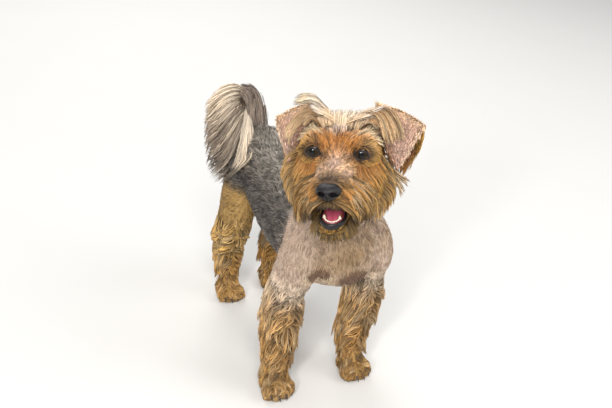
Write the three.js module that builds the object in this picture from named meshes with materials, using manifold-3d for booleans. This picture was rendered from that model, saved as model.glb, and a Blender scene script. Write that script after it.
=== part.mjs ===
// A life-size Yorkshire terrier in a pet clip, standing with its head turned and its mouth open.
// Millimetres, +Z up. The dog faces -Y and its left side is +X. The origin is the middle of its footprint.
// The clipped body is smooth. The head, legs, ears and tail carry locks: flat, tapered blades that bend
// along the lie of the coat, each sunk into the core that it grows from.
import * as THREE from "three";
import { mergeVertices } from "three/addons/utils/BufferGeometryUtils.js";
import Module from "manifold-3d";

const wasm = await Module();
wasm.setup();

// Driving dimensions
const gap = 0.3; // between nodes that touch
const lockGap = 0.6; // between the locks of two nodes
const withersHeight = 206;
const chestHalfWidth = 50;
const chestDepth = 100;
const elbowHeight = 110;
const stifleHeight = 104;
const eyeSpacing = 38;
const eyeRadius = 8;
const noseHalfWidth = 10.2;
const headYaw = -38.5; // degrees, towards the dog's right
const headPitch = 8; // degrees, nose up
const headRoll = 7; // degrees, left eye raised
const eyeLine = new THREE.Vector3(-37.6, -118, 281.4); // the point midway between the eyes
const seed = 20461;

// Materials
const finish = (color, roughness, metalness = 0) =>
  new THREE.MeshStandardMaterial({ color, roughness, metalness });
const coats = {
  saddle: finish(0x6d6966, 0.9),
  tan: finish(0xb98f63, 0.9),
  face: finish(0xb67a42, 0.9),
  plume: finish(0x8a7d70, 0.9),
};
const black = finish(0x1a1817, 0.45);
const eyeGlass = finish(0x24160d, 0.08);
const tonguePink = finish(0xc4607a, 0.5);

// Small helpers
const axisX = new THREE.Vector3(1, 0, 0);
const down = new THREE.Vector3(0, 0, -1);
const degrees = Math.PI / 180;
const mix = THREE.MathUtils.lerp;
const point = (p) => (p.isVector3 ? p.clone() : new THREE.Vector3(...p));
const unit = (...p) => new THREE.Vector3(...p).normalize();

function randomSource(start) {
  let state = start;
  return (low = 0, high = 1) => {
    state = (state + 0x6d2b79f5) | 0;
    let t = Math.imul(state ^ (state >>> 15), 1 | state);
    t = (t + Math.imul(t ^ (t >>> 7), 61 | t)) ^ t;
    return low + (high - low) * (((t ^ (t >>> 14)) >>> 0) / 4294967296);
  };
}
const random = randomSource(seed);

// The head's own frame: x to the dog's left, y up and z forward, with its zero midway between the eyes.
function headMatrix() {
  const yaw = headYaw * degrees;
  const pitch = headPitch * degrees;
  const roll = headRoll * degrees;
  const forward = new THREE.Vector3(
    Math.sin(yaw) * Math.cos(pitch),
    -Math.cos(yaw) * Math.cos(pitch),
    Math.sin(pitch),
  );
  const level = new THREE.Vector3(Math.cos(yaw), Math.sin(yaw), 0);
  const up = new THREE.Vector3().crossVectors(forward, level);
  const left = level.clone().multiplyScalar(Math.cos(roll)).addScaledVector(up, Math.sin(roll));
  const top = up.clone().multiplyScalar(Math.cos(roll)).addScaledVector(level, -Math.sin(roll));
  return new THREE.Matrix4().makeBasis(left, top, forward).setPosition(eyeLine);
}
const toWorld = headMatrix();
const toHead = toWorld.clone().invert();

// A closed geometry as a solid that can be joined and cut.
function solid(geometry, matrix) {
  const bare = new THREE.BufferGeometry();
  bare.setAttribute("position", geometry.getAttribute("position").clone());
  bare.setIndex(geometry.index ? geometry.index.clone() : null);
  if (matrix) bare.applyMatrix4(matrix);
  const merged = mergeVertices(bare, 1e-4);
  return new wasm.Manifold(
    new wasm.Mesh({
      numProp: 3,
      vertProperties: merged.attributes.position.array,
      triVerts: new Uint32Array(merged.index.array),
    }),
  );
}
const joined = (solids) => solids.reduce((all, one) => all.add(one));
const without = (body, cutters) => cutters.reduce((left, cutter) => left.subtract(cutter), body);
const largest = (body) =>
  body.decompose().reduce((best, one) => (one.volume() > best.volume() ? one : best));

// A solid as a named mesh.
function node(name, body, material) {
  const mesh = largest(body).getMesh();
  const corners = new Float32Array(mesh.numVert * 3);
  for (let i = 0; i < mesh.numVert; i++)
    corners.set(mesh.vertProperties.subarray(i * mesh.numProp, i * mesh.numProp + 3), i * 3);
  const geometry = new THREE.BufferGeometry()
    .setAttribute("position", new THREE.BufferAttribute(corners, 3))
    .setIndex(new THREE.BufferAttribute(new Uint32Array(mesh.triVerts), 1));
  geometry.computeVertexNormals();
  const made = new THREE.Mesh(geometry, material);
  made.name = name;
  return made;
}

// A body of elliptical rings along a smooth path. Each station gives a centre with its half width across
// and half depth. Its ends are flat, or rounded over capStart and capEnd millimetres.
class Loft {
  constructor({ stations, side = axisX, capStart = 0, capEnd = 0 }) {
    this.path = new THREE.CatmullRomCurve3(stations.map((s) => point(s.slice(0, 3))), false, "centripetal");
    this.size = new THREE.CatmullRomCurve3(
      stations.map((s) => new THREE.Vector3(s[3], s[4] ?? s[3], 0)),
      false,
      "catmullrom",
      0.4,
    );
    this.side = side;
    this.capStart = capStart;
    this.capEnd = capEnd;
  }

  section(u) {
    const along = this.path.getTangent(u);
    const across = this.side.clone().addScaledVector(along, -this.side.dot(along)).normalize();
    const deep = new THREE.Vector3().crossVectors(along, across);
    const size = this.size.getPoint(u);
    return { centre: this.path.getPoint(u), along, across, deep, halfWidth: size.x, halfDepth: size.y };
  }

  // The point of the surface at u along the path and turn round it, with its outward normal.
  surface(u, turn) {
    const s = this.section(u);
    const out = s.across
      .clone()
      .multiplyScalar(Math.cos(turn) * s.halfDepth)
      .addScaledVector(s.deep, Math.sin(turn) * s.halfWidth)
      .normalize();
    const at = s.centre
      .clone()
      .addScaledVector(s.across, Math.cos(turn) * s.halfWidth)
      .addScaledVector(s.deep, Math.sin(turn) * s.halfDepth);
    return { at, out, along: s.along };
  }

  geometry({ sides = 16, rings = 12, from = 0, to = 1, grow = 0, trimStart = 0 } = {}) {
    const capRings = 3;
    const rows = [];
    const row = (s, shift, scale) => {
      const ring = [];
      for (let i = 0; i < sides; i++) {
        const turn = (2 * Math.PI * i) / sides;
        ring.push(
          s.centre
            .clone()
            .addScaledVector(s.along, shift)
            .addScaledVector(s.across, Math.cos(turn) * (s.halfWidth + grow) * scale)
            .addScaledVector(s.deep, Math.sin(turn) * (s.halfDepth + grow) * scale),
        );
      }
      rows.push(ring);
    };
    const first = this.section(from);
    const last = this.section(to);
    const startLength = (from === 0 ? this.capStart : 0) + grow;
    const endLength = (to === 1 ? this.capEnd : 0) + grow;
    const roundStart = from === 0 && this.capStart > 0;
    const roundEnd = to === 1 && this.capEnd > 0;
    if (roundStart)
      for (let k = capRings; k > 0; k--) {
        const a = (k / (capRings + 1)) * (Math.PI / 2);
        row(first, -startLength * Math.sin(a), Math.cos(a));
      }
    for (let k = 0; k <= rings; k++) {
      const shift = k === 0 && !roundStart ? trimStart - grow : k === rings && !roundEnd ? grow : 0;
      row(this.section(mix(from, to, k / rings)), shift, 1);
    }
    if (roundEnd)
      for (let k = 1; k <= capRings; k++) {
        const a = (k / (capRings + 1)) * (Math.PI / 2);
        row(last, endLength * Math.sin(a), Math.cos(a));
      }
    const corners = rows.flat().flatMap((p) => p.toArray());
    const startTip = first.centre.clone().addScaledVector(first.along, trimStart - startLength);
    const endTip = last.centre.clone().addScaledVector(last.along, endLength);
    const startIndex = rows.length * sides;
    corners.push(...startTip.toArray(), ...endTip.toArray());
    const faces = [];
    for (let r = 0; r + 1 < rows.length; r++)
      for (let i = 0; i < sides; i++) {
        const a = r * sides + i;
        const b = r * sides + ((i + 1) % sides);
        faces.push(a, b, b + sides, a, b + sides, a + sides);
      }
    for (let i = 0; i < sides; i++) {
      const next = (i + 1) % sides;
      const end = (rows.length - 1) * sides;
      faces.push(startIndex, next, i, startIndex + 1, end + i, end + next);
    }
    return new THREE.BufferGeometry()
      .setAttribute("position", new THREE.BufferAttribute(new Float32Array(corners), 3))
      .setIndex(faces);
  }

  solid(options, matrix) {
    return solid(this.geometry(options), matrix);
  }
}

// An ellipsoid with its middle and three half sizes.
function ball(centre, radii, { grow = 0, wide = 20, high = 14, turn = 0 } = {}) {
  const geometry = new THREE.SphereGeometry(1, wide, high);
  geometry.scale(radii[0] + grow, radii[1] + grow, radii[2] + grow);
  geometry.rotateX(turn * degrees);
  geometry.translate(...point(centre).toArray());
  return geometry;
}

// A lock: a flat blade with four edges. It starts sunk below its root, follows its lie, lifts off along the
// outward direction, droops along the pull, and tapers to a point.
function blade(lock, grow) {
  const { root, out, lie, length, width, thick = 3.4, lift = 4, droop = 0, sway = 0, sink = 4 } = lock;
  const { pull = down, steps = 3 } = lock;
  const aside = new THREE.Vector3().crossVectors(lie, out).normalize();
  const step = (along, off, fall, side) =>
    root
      .clone()
      .addScaledVector(lie, length * along)
      .addScaledVector(out, off)
      .addScaledVector(pull, length * droop * fall)
      .addScaledVector(aside, length * sway * side);
  const spine = new THREE.CubicBezierCurve3(
    step(-0.06, -sink, 0, 0),
    step(0.26, lift * 0.9, 0.05, 0.6),
    step(0.66, lift * 1.15, 0.4, -0.5),
    step(1, lift * 0.85, 1, 0.9),
  );
  const corners = [];
  for (let k = 0; k < steps; k++) {
    const s = (k / steps) * 1.06;
    const taper = Math.sqrt(1 - s ** 3) * (k === 0 ? 0.8 : 1);
    const centre = spine.getPoint(s);
    const along = spine.getTangent(s);
    const across = new THREE.Vector3().crossVectors(along, out).normalize();
    const proud = new THREE.Vector3().crossVectors(across, along).normalize();
    const halfWidth = (width / 2) * taper + grow;
    const halfThick = (thick / 2) * taper + grow;
    for (const [a, b] of [[1, 0], [0, 1], [-1, 0], [0, -1]]) {
      const corner = centre.clone().addScaledVector(across, a * halfWidth);
      corners.push(...corner.addScaledVector(proud, b * halfThick).toArray());
    }
  }
  corners.push(...spine.getPoint(1).addScaledVector(spine.getTangent(1), grow).toArray());
  const faces = [0, 1, 2, 0, 2, 3];
  const tip = steps * 4;
  for (let k = 0; k + 1 < steps; k++)
    for (let i = 0; i < 4; i++) {
      const a = k * 4 + i;
      const b = k * 4 + ((i + 1) % 4);
      faces.push(a, a + 4, b + 4, a, b + 4, b);
    }
  for (let i = 0; i < 4; i++) faces.push(tip - 4 + i, tip, tip - 4 + ((i + 1) % 4));
  return new THREE.BufferGeometry()
    .setAttribute("position", new THREE.BufferAttribute(new Float32Array(corners), 3))
    .setIndex(faces);
}
const coat = (locks, grow = 0) => joined(locks.map((lock) => solid(blade(lock, grow))));

// A lock from its root to its tip, where droop is the share of its length that it falls on the way.
function lockTo(root, tip, out, { droop = 0, ...more }) {
  const fall = root.distanceTo(tip) * droop;
  const reach = tip.clone().sub(root).addScaledVector(down, -fall);
  const length = reach.length();
  return { root, out, lie: reach.normalize(), length, droop: fall / length, ...more };
}

// Rows of locks down a limb, none of them nearer to the floor than tipHeight. Each row is
// turned by half a lock from the one above.
const tipHeight = 8;
function limbLocks(limb, { from, to, tiers, around, length, width, lift, feather = 0 }) {
  const locks = [];
  const limbLength = limb.path.getLength();
  for (let r = 0; r < tiers; r++)
    for (let i = 0; i < around; i++) {
      const turn = (2 * Math.PI * (i + (r % 2) / 2 + random(-0.12, 0.12))) / around;
      const u = mix(from, to, r / (tiers - 1));
      const root = limb.surface(u, turn);
      const behind = feather * Math.max(root.out.y, 0);
      const reach = u + (length * random(0.88, 1.12) * (1 + behind)) / limbLength;
      const end = limb.surface(Math.min(reach, 1), turn + random(-0.15, 0.15));
      const beyond = Math.min(Math.max(reach - 1, 0) * limbLength, end.at.z - tipHeight);
      const tip = end.at.addScaledVector(end.out, lift * (1 + 3 * behind)).addScaledVector(down, beyond);
      locks.push(lockTo(root.at, tip, root.out, { width: width * random(0.9, 1.12), lift, thick: 8 }));
    }
  return locks;
}

// The first place of a mesh on the way from start to aim, with its outward normal.
const caster = new THREE.Raycaster();
function touch(mesh, start, aim) {
  caster.set(start, aim.clone().sub(start).normalize());
  const [hit] = caster.intersectObject(mesh);
  return { at: hit.point, out: hit.face.normal.clone() };
}

// Trunk
const trunk = new Loft({
  stations: [
    [7, -82, 152, 33, 36],
    [7, -66, 153, chestHalfWidth - 4, 46],
    [6, -40, withersHeight - chestDepth / 2, chestHalfWidth, chestDepth / 2],
    [4, -8, 155, chestHalfWidth, 50],
    [2, 28, 159, 47, 45],
    [0, 62, 165, 42, 39],
    [-1, 90, 169, 39, 37],
    [-2, 110, 173, 32, 31],
  ],
  capStart: 17,
  capEnd: 16,
});
const trunkShape = { sides: 20, rings: 11 };
const neckLoft = new Loft({
  stations: [
    [6, -48, 172, 36, 42],
    [1, -62, 196, 34, 38],
    [-8, -76, 222, 31, 33],
    [-20, -92, 254, 28, 29],
    [-27, -101, 272, 26, 26],
  ],
});
const neckBase = 0.27; // along the neck's path, where it leaves the trunk
const neckTop = 0.9;

// Legs. Each forelimb runs from the shoulder blade over the elbow to the wrist, each hind limb from the hip
// over the stifle and the hock to the foot.
const elbow = 2 / 6;
const foreLimb = {
  right: new Loft({
    stations: [
      [-20, -38, 180, 16, 24],
      [-31, -62, 150, 19, 27],
      [-37, -52, elbowHeight, 18.5, 20.5],
      [-42, -55, 86, 17, 18],
      [-44, -59, 64, 15.5, 16],
      [-45.5, -63, 44, 13, 13.5],
      [-47, -66, 27, 11.5, 12],
    ],
  }),
  left: new Loft({
    stations: [
      [30, -38, 180, 16, 24],
      [44, -62, 150, 19, 27],
      [48, -52, elbowHeight, 18.5, 20.5],
      [48, -54, 86, 17, 18],
      [44, -57, 64, 15.5, 16],
      [38, -60, 44, 13, 13.5],
      [35, -65, 27, 11.5, 12],
    ],
  }),
};
const forePaw = { right: [-50, -71, 11], left: [36, -71, 11] };
const thighTop = 1 / 6;
const stifle = 2 / 6;
const hindLimb = {
  right: new Loft({
    stations: [
      [-24, 90, 168, 20, 32],
      [-36, 82, 136, 19, 27],
      [-42, 78, stifleHeight, 17.5, 21],
      [-41, 90, 82, 14.5, 15.5],
      [-37, 102, 58, 12.5, 13],
      [-36, 101, 38, 11, 11.5],
      [-37, 97, 22, 10.5, 11],
    ],
  }),
  left: new Loft({
    stations: [
      [20, 90, 168, 20, 32],
      [32, 84, 136, 19, 27],
      [35, 84, stifleHeight, 17.5, 21],
      [31, 98, 82, 14.5, 15.5],
      [26, 112, 58, 12.5, 13],
      [22, 111, 38, 11, 11.5],
      [20, 107, 22, 10.5, 11],
    ],
  }),
};
const hindPaw = { right: [-38, 92, 10], left: [19, 102, 10] };
const limbShape = { sides: 10 };

const floorCut = solid(new THREE.BoxGeometry(600, 600, 100).translate(0, 0, -50));

// A paw: a pad, four toes with their claws, and the wrist or the foot that comes down to them.
function paw([x, y], halfWidth, halfLength, height, wrist, grow = 0) {
  const middle = [x, y + 3, height * 0.45];
  const pad = ball(middle, [halfWidth, halfLength * 0.85, height * 0.6], { grow, wide: 8, high: 5 });
  const pieces = [solid(pad), wrist.solid({ sides: 6, rings: 1, grow })];
  for (const k of [-1.5, -0.5, 0.5, 1.5]) {
    const outer = Math.abs(k) > 1;
    const toe = [x + k * halfWidth * 0.5, y - halfLength * (outer ? 0.5 : 0.72), height * 0.34];
    const radii = [halfWidth * 0.36, halfLength * 0.46, height * 0.42];
    pieces.push(solid(ball(toe, radii, { grow, wide: 6, high: 4 })));
    const claw = new THREE.ConeGeometry(1.3 + grow, 7 + grow, 3).rotateX(115 * degrees);
    pieces.push(solid(claw.translate(toe[0], toe[1] - radii[1] - 1.4, height * 0.3)));
  }
  return joined(pieces).subtract(floorCut);
}

// Head, in its own frame
const eyePlace = (s) => new THREE.Vector3((s * eyeSpacing) / 2, 0, 0);
const muzzleLoft = new Loft({
  stations: [
    [0, -13, -6, 20, 15],
    [0, -17, 12, 15, 13],
    [0, -20, 28, 12, 11.5],
    [0, -20.5, 36, 10, 10],
  ],
  capEnd: 3,
});
function headCore(grow = 0) {
  const pieces = [
    ball([0, -4, -30], [31.5, 23.5, 37], { grow, wide: 16, high: 10 }),
    ball([0, -28, -22], [38, 30, 29], { grow, wide: 16, high: 10 }),
    muzzleLoft.geometry({ sides: 12, rings: 3, grow }),
  ];
  for (const s of [-1, 1]) {
    pieces.push(ball([s * 15, 7, -5], [14, 8, 10], { grow, wide: 8, high: 6 }));
    pieces.push(ball([s * 18, -3, -5], [15, 12, 12], { grow, wide: 10, high: 8 }));
    pieces.push(ball([s * 10, -28, 18], [8.5, 9, 17], { grow, wide: 10, high: 6 }));
  }
  return joined(pieces.map((one) => solid(one)));
}

// A lid: a shell round the eyeball with the opening between its two edges.
function lids(s) {
  const eye = eyePlace(s);
  const [x, y, z] = eye.toArray();
  const shell = solid(ball(eye, [10, 9.4, 9.2], { wide: 12, high: 10 }));
  const opening = solid(ball([x - s * 0.6, y - 0.4, z + 9], [6.3, 5.2, 8], { wide: 12, high: 6 }));
  return { shell, opening };
}

// Lower jaw with its lip, the bed of the tongue and its teeth
const jawLoft = new Loft({
  stations: [
    [0, -41, -14, 17, 9],
    [0, -48.5, 8, 13.5, 6.2],
    [0, -53.8, 24, 10, 3.6],
  ],
  capEnd: 5,
});
const tongueCentre = [0, -46.2, 8];
const tongueRadii = [8, 4.8, 17];
const tongueTurn = 18; // degrees, its tip lowered
const tongueBall = (grow) => {
  const geometry = ball([0, 0, 0], tongueRadii, { grow, wide: 10, high: 8, turn: tongueTurn });
  return solid(geometry.translate(...tongueCentre));
};
function teeth() {
  const pieces = [];
  for (let i = 0; i < 8; i++) {
    const turn = mix(-62, 62, i / 7) * degrees;
    const canine = i === 0 || i === 7;
    const height = canine ? 6.4 : 3.8;
    const tooth = new THREE.ConeGeometry(canine ? 1.5 : 1.25, height, 4);
    const base = -52.2 + 2.6 * (1 - Math.cos(turn));
    tooth.translate(8.3 * Math.sin(turn), base + height / 2, 18.5 + 8.5 * Math.cos(turn));
    pieces.push(solid(tooth));
  }
  return joined(pieces);
}

// Ears: rows of three places from the root on the skull, over the fold, to the hanging tip.
const earRows = [
  [[23, 19, -22], [31, 8, -44], [40, -20, -33]],
  [[25, 27, -25], [43, 17, -44], [54, -10, -37]],
  [[25, 31, -27], [45, 25, -34], [64, 14, -33]],
  [[31, 17, -16], [48, 10, -15], [59, 1, -22]],
  [[43, -8, -11], [46, -11, -11], [49, -9, -13]],
];
const earSpread = { left: 1, right: 0.84 };
const earThickness = 2.8;

const earRoot = 24; // from the middle of the head to the root's inner edge
const columns = 5; // of an ear's grid, from its inner edge to the outer one
const rows = 9; // of an ear's grid, from its root to its tip

// The middle surface of an ear as a grid of points
function earGrid(s, spread) {
  const placed = ([x, y, z]) =>
    new THREE.Vector3(s * (earRoot + (x - earRoot) * spread), y * mix(1, spread, 0.3), z);
  const across = earRows.map((row) => new THREE.CatmullRomCurve3(row.map(placed)));
  const grid = [];
  for (let i = 0; i <= columns; i++) {
    const along = new THREE.CatmullRomCurve3(across.map((curve) => curve.getPoint(i / columns)));
    grid.push([...Array(rows + 1).keys()].map((j) => along.getPoint(j / rows)));
  }
  return grid;
}
function ear(s, spread, grow = 0) {
  const grid = earGrid(s, spread);
  const normal = (i, j) => {
    const a = grid[Math.min(i + 1, columns)][j].clone().sub(grid[Math.max(i - 1, 0)][j]);
    const b = grid[i][Math.min(j + 1, rows)].clone().sub(grid[i][Math.max(j - 1, 0)]);
    return a.cross(b).normalize().multiplyScalar(s);
  };
  const away = (p, inner) => p.clone().sub(inner).setLength(grow);
  const rim = (i, j) => {
    const moved = grid[i][j].clone();
    if (i === 0 || i === columns) moved.add(away(grid[i][j], grid[i === 0 ? 1 : columns - 1][j]));
    if (j === 0 || j === rows) moved.add(away(grid[i][j], grid[i][j === 0 ? 1 : rows - 1]));
    return moved;
  };
  const corners = [];
  const half = earThickness / 2 + grow;
  for (const face of [1, -1])
    for (let i = 0; i <= columns; i++)
      for (let j = 0; j <= rows; j++)
        corners.push(...rim(i, j).addScaledVector(normal(i, j), face * half).toArray());
  const under = (columns + 1) * (rows + 1);
  const at = (i, j) => i * (rows + 1) + j;
  const faces = [];
  const quad = (a, b, c, d) => faces.push(a, b, c, a, c, d);
  for (let i = 0; i < columns; i++)
    for (let j = 0; j < rows; j++) {
      const [a, b, c, d] = [at(i, j), at(i + 1, j), at(i + 1, j + 1), at(i, j + 1)];
      quad(a, b, c, d);
      faces.push(under + a, under + c, under + b, under + a, under + d, under + c);
    }
  for (let i = 0; i < columns; i++) {
    quad(at(i + 1, 0), at(i, 0), under + at(i, 0), under + at(i + 1, 0));
    quad(at(i, rows), at(i + 1, rows), under + at(i + 1, rows), under + at(i, rows));
  }
  for (let j = 0; j < rows; j++) {
    quad(at(0, j), at(0, j + 1), under + at(0, j + 1), under + at(0, j));
    quad(at(columns, j + 1), at(columns, j), under + at(columns, j), under + at(columns, j + 1));
  }
  for (let k = 0; s < 0 && k < faces.length; k += 3) {
    const second = faces[k + 1];
    faces[k + 1] = faces[k + 2];
    faces[k + 2] = second;
  }
  return new THREE.BufferGeometry()
    .setAttribute("position", new THREE.BufferAttribute(new Float32Array(corners), 3))
    .setIndex(faces);
}

// Locks of the head, each rooted where a ray meets the core
const headMesh = node("core", headCore(), coats.face);
const headDown = down.clone().transformDirection(toHead);
function headLock(start, aim, direction, length, width, more = {}) {
  const { at, out } = touch(headMesh, point(start), point(aim));
  const lie = unit(...direction);
  lie.addScaledVector(out, Math.max(0, -lie.dot(out)) + 0.1).normalize();
  return {
    root: at,
    out,
    lie,
    length: length * random(0.88, 1.12),
    width: width * random(0.9, 1.1),
    pull: headDown,
    sway: random(-0.12, 0.12),
    ...more,
  };
}
function crownLocks() {
  const locks = [];
  for (const [z, count, length] of [[-7, 2, 24], [-25, 3, 28], [-46, 2, 28]])
    for (let i = 0; i < count; i++) {
      const x = mix(-7, 7, i / (count - 1)) * count;
      const lie = [x * 0.02, 0, -1];
      locks.push(headLock([x * 1.3, 60, z], [x * 0.6, -10, z], lie, length, 24, { lift: 2.5 }));
    }
  for (const x of [-22, 0, 22])
    locks.push(headLock([x * 2, 10, -110], [x * 0.5, -12, -30], [x * 0.008, -1, -0.2], 32, 24, { lift: 4 }));
  return locks;
}
function faceLocks(s) {
  const locks = [];
  for (const [z, count, first, last, length] of [
    [-1, 2, -30, -60, 22],
    [-15, 3, -14, -76, 26],
    [-32, 2, -12, -62, 26],
  ])
    for (let i = 0; i < count; i++) {
      const turn = mix(first, last, i / (count - 1)) * degrees;
      const start = [s * 90 * Math.cos(turn), -26 + 90 * Math.sin(turn), z + 12];
      const direction = [s * Math.cos(turn) * 0.4, Math.sin(turn) * 0.6 - 0.55, -0.7];
      locks.push(headLock(start, [0, -24, z], direction, length, 22, { lift: 3.5 }));
    }
  for (const [y, first, last, length] of [[-24, 28, 14, 22], [-32, 25, 8, 22]])
    for (let i = 0; i < 2; i++) {
      const z = mix(first, last, i);
      const lie = [s * 0.55, -0.75, -0.3];
      locks.push(headLock([s * 60, y, z], [0, y, z], lie, length, 13, { lift: 3, sink: 3 }));
    }
  return locks;
}
const headLocks = [...crownLocks(), ...faceLocks(-1), ...faceLocks(1)];

const jawCore = (grow = 0) => jawLoft.solid({ sides: 12, rings: 4, grow });
const jawMesh = node("core", jawCore(), coats.face);
function beardLocks() {
  const locks = [];
  for (const [row, count, drop, length] of [[0, 5, -54.5, 16], [1, 3, -59, 14]])
    for (let i = 0; i < count; i++) {
      const turn = mix(-80, 80, i / (count - 1)) * degrees;
      const away = new THREE.Vector3(Math.sin(turn), 0, Math.cos(turn));
      const start = away.clone().multiplyScalar(50).add(point([0, drop - row * 12, 6]));
      const { at, out } = touch(jawMesh, start, point([0, -50, 6 - row * 3]));
      locks.push({
        root: at,
        out,
        lie: unit(away.x * 0.7, -0.8 - row * 0.3, away.z * 0.35 - 0.15),
        length: length * random(0.88, 1.12),
        width: 16,
        lift: 3,
        pull: headDown,
        sway: random(-0.1, 0.1),
      });
    }
  return locks;
}

// Tail: a stem that rises, curls over to the right and hangs, with the plume's locks
const tailLoft = new Loft({
  stations: [
    [-2, 118, 196, 10, 11],
    [-6, 123, 214, 9.5, 10],
    [-13, 126, 228, 9, 9],
    [-25, 127, 230, 8, 8],
    [-34, 127, 217, 7, 7],
    [-38, 126, 200, 5, 5],
  ],
  side: unit(1, -0.3, 0.2),
  capEnd: 4,
});
const plumeTips = new Loft({
  stations: [
    [-1, 116, 196, 12, 13],
    [-4, 123, 214, 13, 14],
    [-12, 128, 229, 15, 14],
    [-25, 131, 228, 19, 17],
    [-33, 132, 205, 22, 18],
    [-37, 131, 177, 21, 17],
    [-38, 129, 149, 15, 11],
    [-38, 128, 127, 8, 6],
  ],
  side: unit(1, -0.3, 0.2),
});
function plumeLocks() {
  const locks = [];
  const tiers = 5;
  for (let r = 0; r < tiers; r++)
    for (const side of r % 2 ? [-0.6, 0.6] : [-1.1, 0, 1.1]) {
      const u = mix(0.06, 0.94, r / (tiers - 1));
      const turn = (side * 60 + 180) * degrees;
      const root = tailLoft.surface(u, turn);
      const end = plumeTips.surface(mix(0.36, 0.97, u) + random(-0.04, 0.04), turn);
      const shape = { width: random(25, 29), thick: 6, lift: 3, steps: 4 };
      const bend = { droop: 0.3 * (1 - u), sway: random(-0.06, 0.06) };
      locks.push(lockTo(root.at, end.at, root.out, { ...shape, ...bend }));
    }
  return locks;
}

// Fringe of an ear, rooted on its sheet
function fringeLocks(s, spread) {
  const grid = earGrid(s, spread);
  const locks = [];
  for (const [i, j, direction, length] of [
    [1, 4, s < 0 ? [0.8, 0.6, 0.1] : [0.7, -0.1, 0.2], s < 0 ? 22 : 12],
    [1, 5, [0.6, 0.2, 0.4], 13],
    [1, 6, [0.3, -0.5, 0.5], 15],
    [2, 7, [0.1, -0.8, 0.2], 14],
    [3, 8, [0.2, -0.9, 0.1], 13],
  ]) {
    const a = grid[i + 1][j].clone().sub(grid[i][j]);
    const b = grid[i][j + 1].clone().sub(grid[i][j]);
    const out = a.cross(b).normalize().multiplyScalar(s);
    const [x, y, z] = direction;
    locks.push({
      root: grid[i][j].clone().addScaledVector(out, earThickness / 2),
      out,
      lie: unit(s * x, y, z),
      length,
      width: 8,
      thick: 2,
      lift: 1.5,
      sink: 0.6,
      pull: headDown,
    });
  }
  return locks;
}

// The solids of the trunk and the limbs
const limbs = (limb, options) => limb.solid({ ...limbShape, ...options });
const trunkSolid = joined([
  trunk.solid(trunkShape),
  neckLoft.solid({ sides: 18, rings: 2, to: neckBase }),
  limbs(foreLimb.right, { rings: 3, to: elbow }),
  limbs(foreLimb.left, { rings: 3, to: elbow }),
  limbs(hindLimb.right, { rings: 3, to: thighTop }),
  limbs(hindLimb.left, { rings: 3, to: thighTop }),
]);
const trunkCut = trunk.solid({ ...trunkShape, grow: gap });
const neckCut = { sides: 18, rings: 8, to: neckTop, grow: gap };
const neckSolid = neckLoft.solid({ sides: 18, rings: 5, from: neckBase, to: neckTop, trimStart: gap });

const dog = new THREE.Group();
dog.add(node("torso", trunkSolid, coats.saddle));
dog.add(node("neck", without(neckSolid, [trunkCut]), coats.tan));

// A lower leg with its locks, cut clear of the limb above it, and the paw under it
function lowerLeg({ name, pawName, limb, from, locks, place, pawSize, wristSize }) {
  const wrist = new Loft({
    stations: [
      [...limb.section(1).centre.toArray(), ...wristSize],
      [...place, ...wristSize],
    ],
  });
  const shape = { rings: 4, from };
  const fringe = coat(locks).subtract(paw(place, ...pawSize, wrist, gap));
  const leg = limbs(limb, { ...shape, trimStart: gap }).add(fringe);
  const above = limbs(limb, { rings: 6, to: from, grow: gap });
  dog.add(node(name, without(leg, [trunkCut, above]), coats.tan));
  const shin = limbs(limb, { ...shape, grow: gap });
  dog.add(node(pawName, paw(place, ...pawSize, wrist).subtract(shin), coats.tan));
}

for (const side of ["left", "right"]) {
  lowerLeg({
    name: `foreleg_${side}`,
    pawName: `forepaw_${side}`,
    limb: foreLimb[side],
    from: elbow,
    locks: limbLocks(foreLimb[side], {
      from: 0.37, to: 0.8, tiers: 3, around: 3, length: 44, width: 33, lift: 2.4, feather: 0.3,
    }),
    place: forePaw[side],
    pawSize: [14, 17.5, 20],
    wristSize: [11.5, 12],
  });
  const thigh = limbs(hindLimb[side], { rings: 3, from: thighTop, to: stifle, trimStart: gap });
  dog.add(node(`thigh_${side}`, thigh.subtract(trunkCut), coats.tan));
  lowerLeg({
    name: `shank_${side}`,
    pawName: `hindpaw_${side}`,
    limb: hindLimb[side],
    from: stifle,
    locks: limbLocks(hindLimb[side], {
      from: 0.37, to: 0.8, tiers: 3, around: 3, length: 40, width: 28, lift: 2.2, feather: 0.3,
    }),
    place: hindPaw[side],
    pawSize: [13, 16, 18],
    wristSize: [10.5, 11],
  });
}
const stem = tailLoft.solid({ sides: 8, rings: 6 });
const hipCut = limbs(hindLimb.right, { rings: 6, to: stifle, grow: gap });
dog.add(node("tail", without(stem.add(coat(plumeLocks())), [trunkCut, hipCut]), coats.plume));

// The head's nodes, each cut clear of the one that it meets
const headGroup = new THREE.Group();
headGroup.applyMatrix4(toWorld);
dog.add(headGroup);
const sides = [["left", 1], ["right", -1]];
const neckInHead = neckLoft.solid(neckCut, toHead);
const trunkInHead = trunk.solid({ ...trunkShape, grow: gap }, toHead);
const noseBall = (grow) => solid(ball([0, -20.5, 38], [noseHalfWidth, 8, 7], { grow, wide: 14, high: 8 }));
const earSheets = sides.map(([side, s]) => solid(ear(s, earSpread[side], gap)));
const coreCut = headCore(gap);
const headCoat = without(coat(headLocks), [...earSheets, jawCore(gap), noseBall(gap)]);
let headSolid = headCore();
for (const [, s] of sides) headSolid = headSolid.add(lids(s).shell);
headSolid = headSolid.add(headCoat);
for (const [, s] of sides) {
  const eyeball = solid(ball(eyePlace(s), Array(3).fill(eyeRadius), { grow: gap, wide: 14, high: 8 }));
  headSolid = without(headSolid, [eyeball, lids(s).opening]);
}
headGroup.add(node("head", without(headSolid, [neckInHead, trunkInHead]), coats.face));

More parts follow.
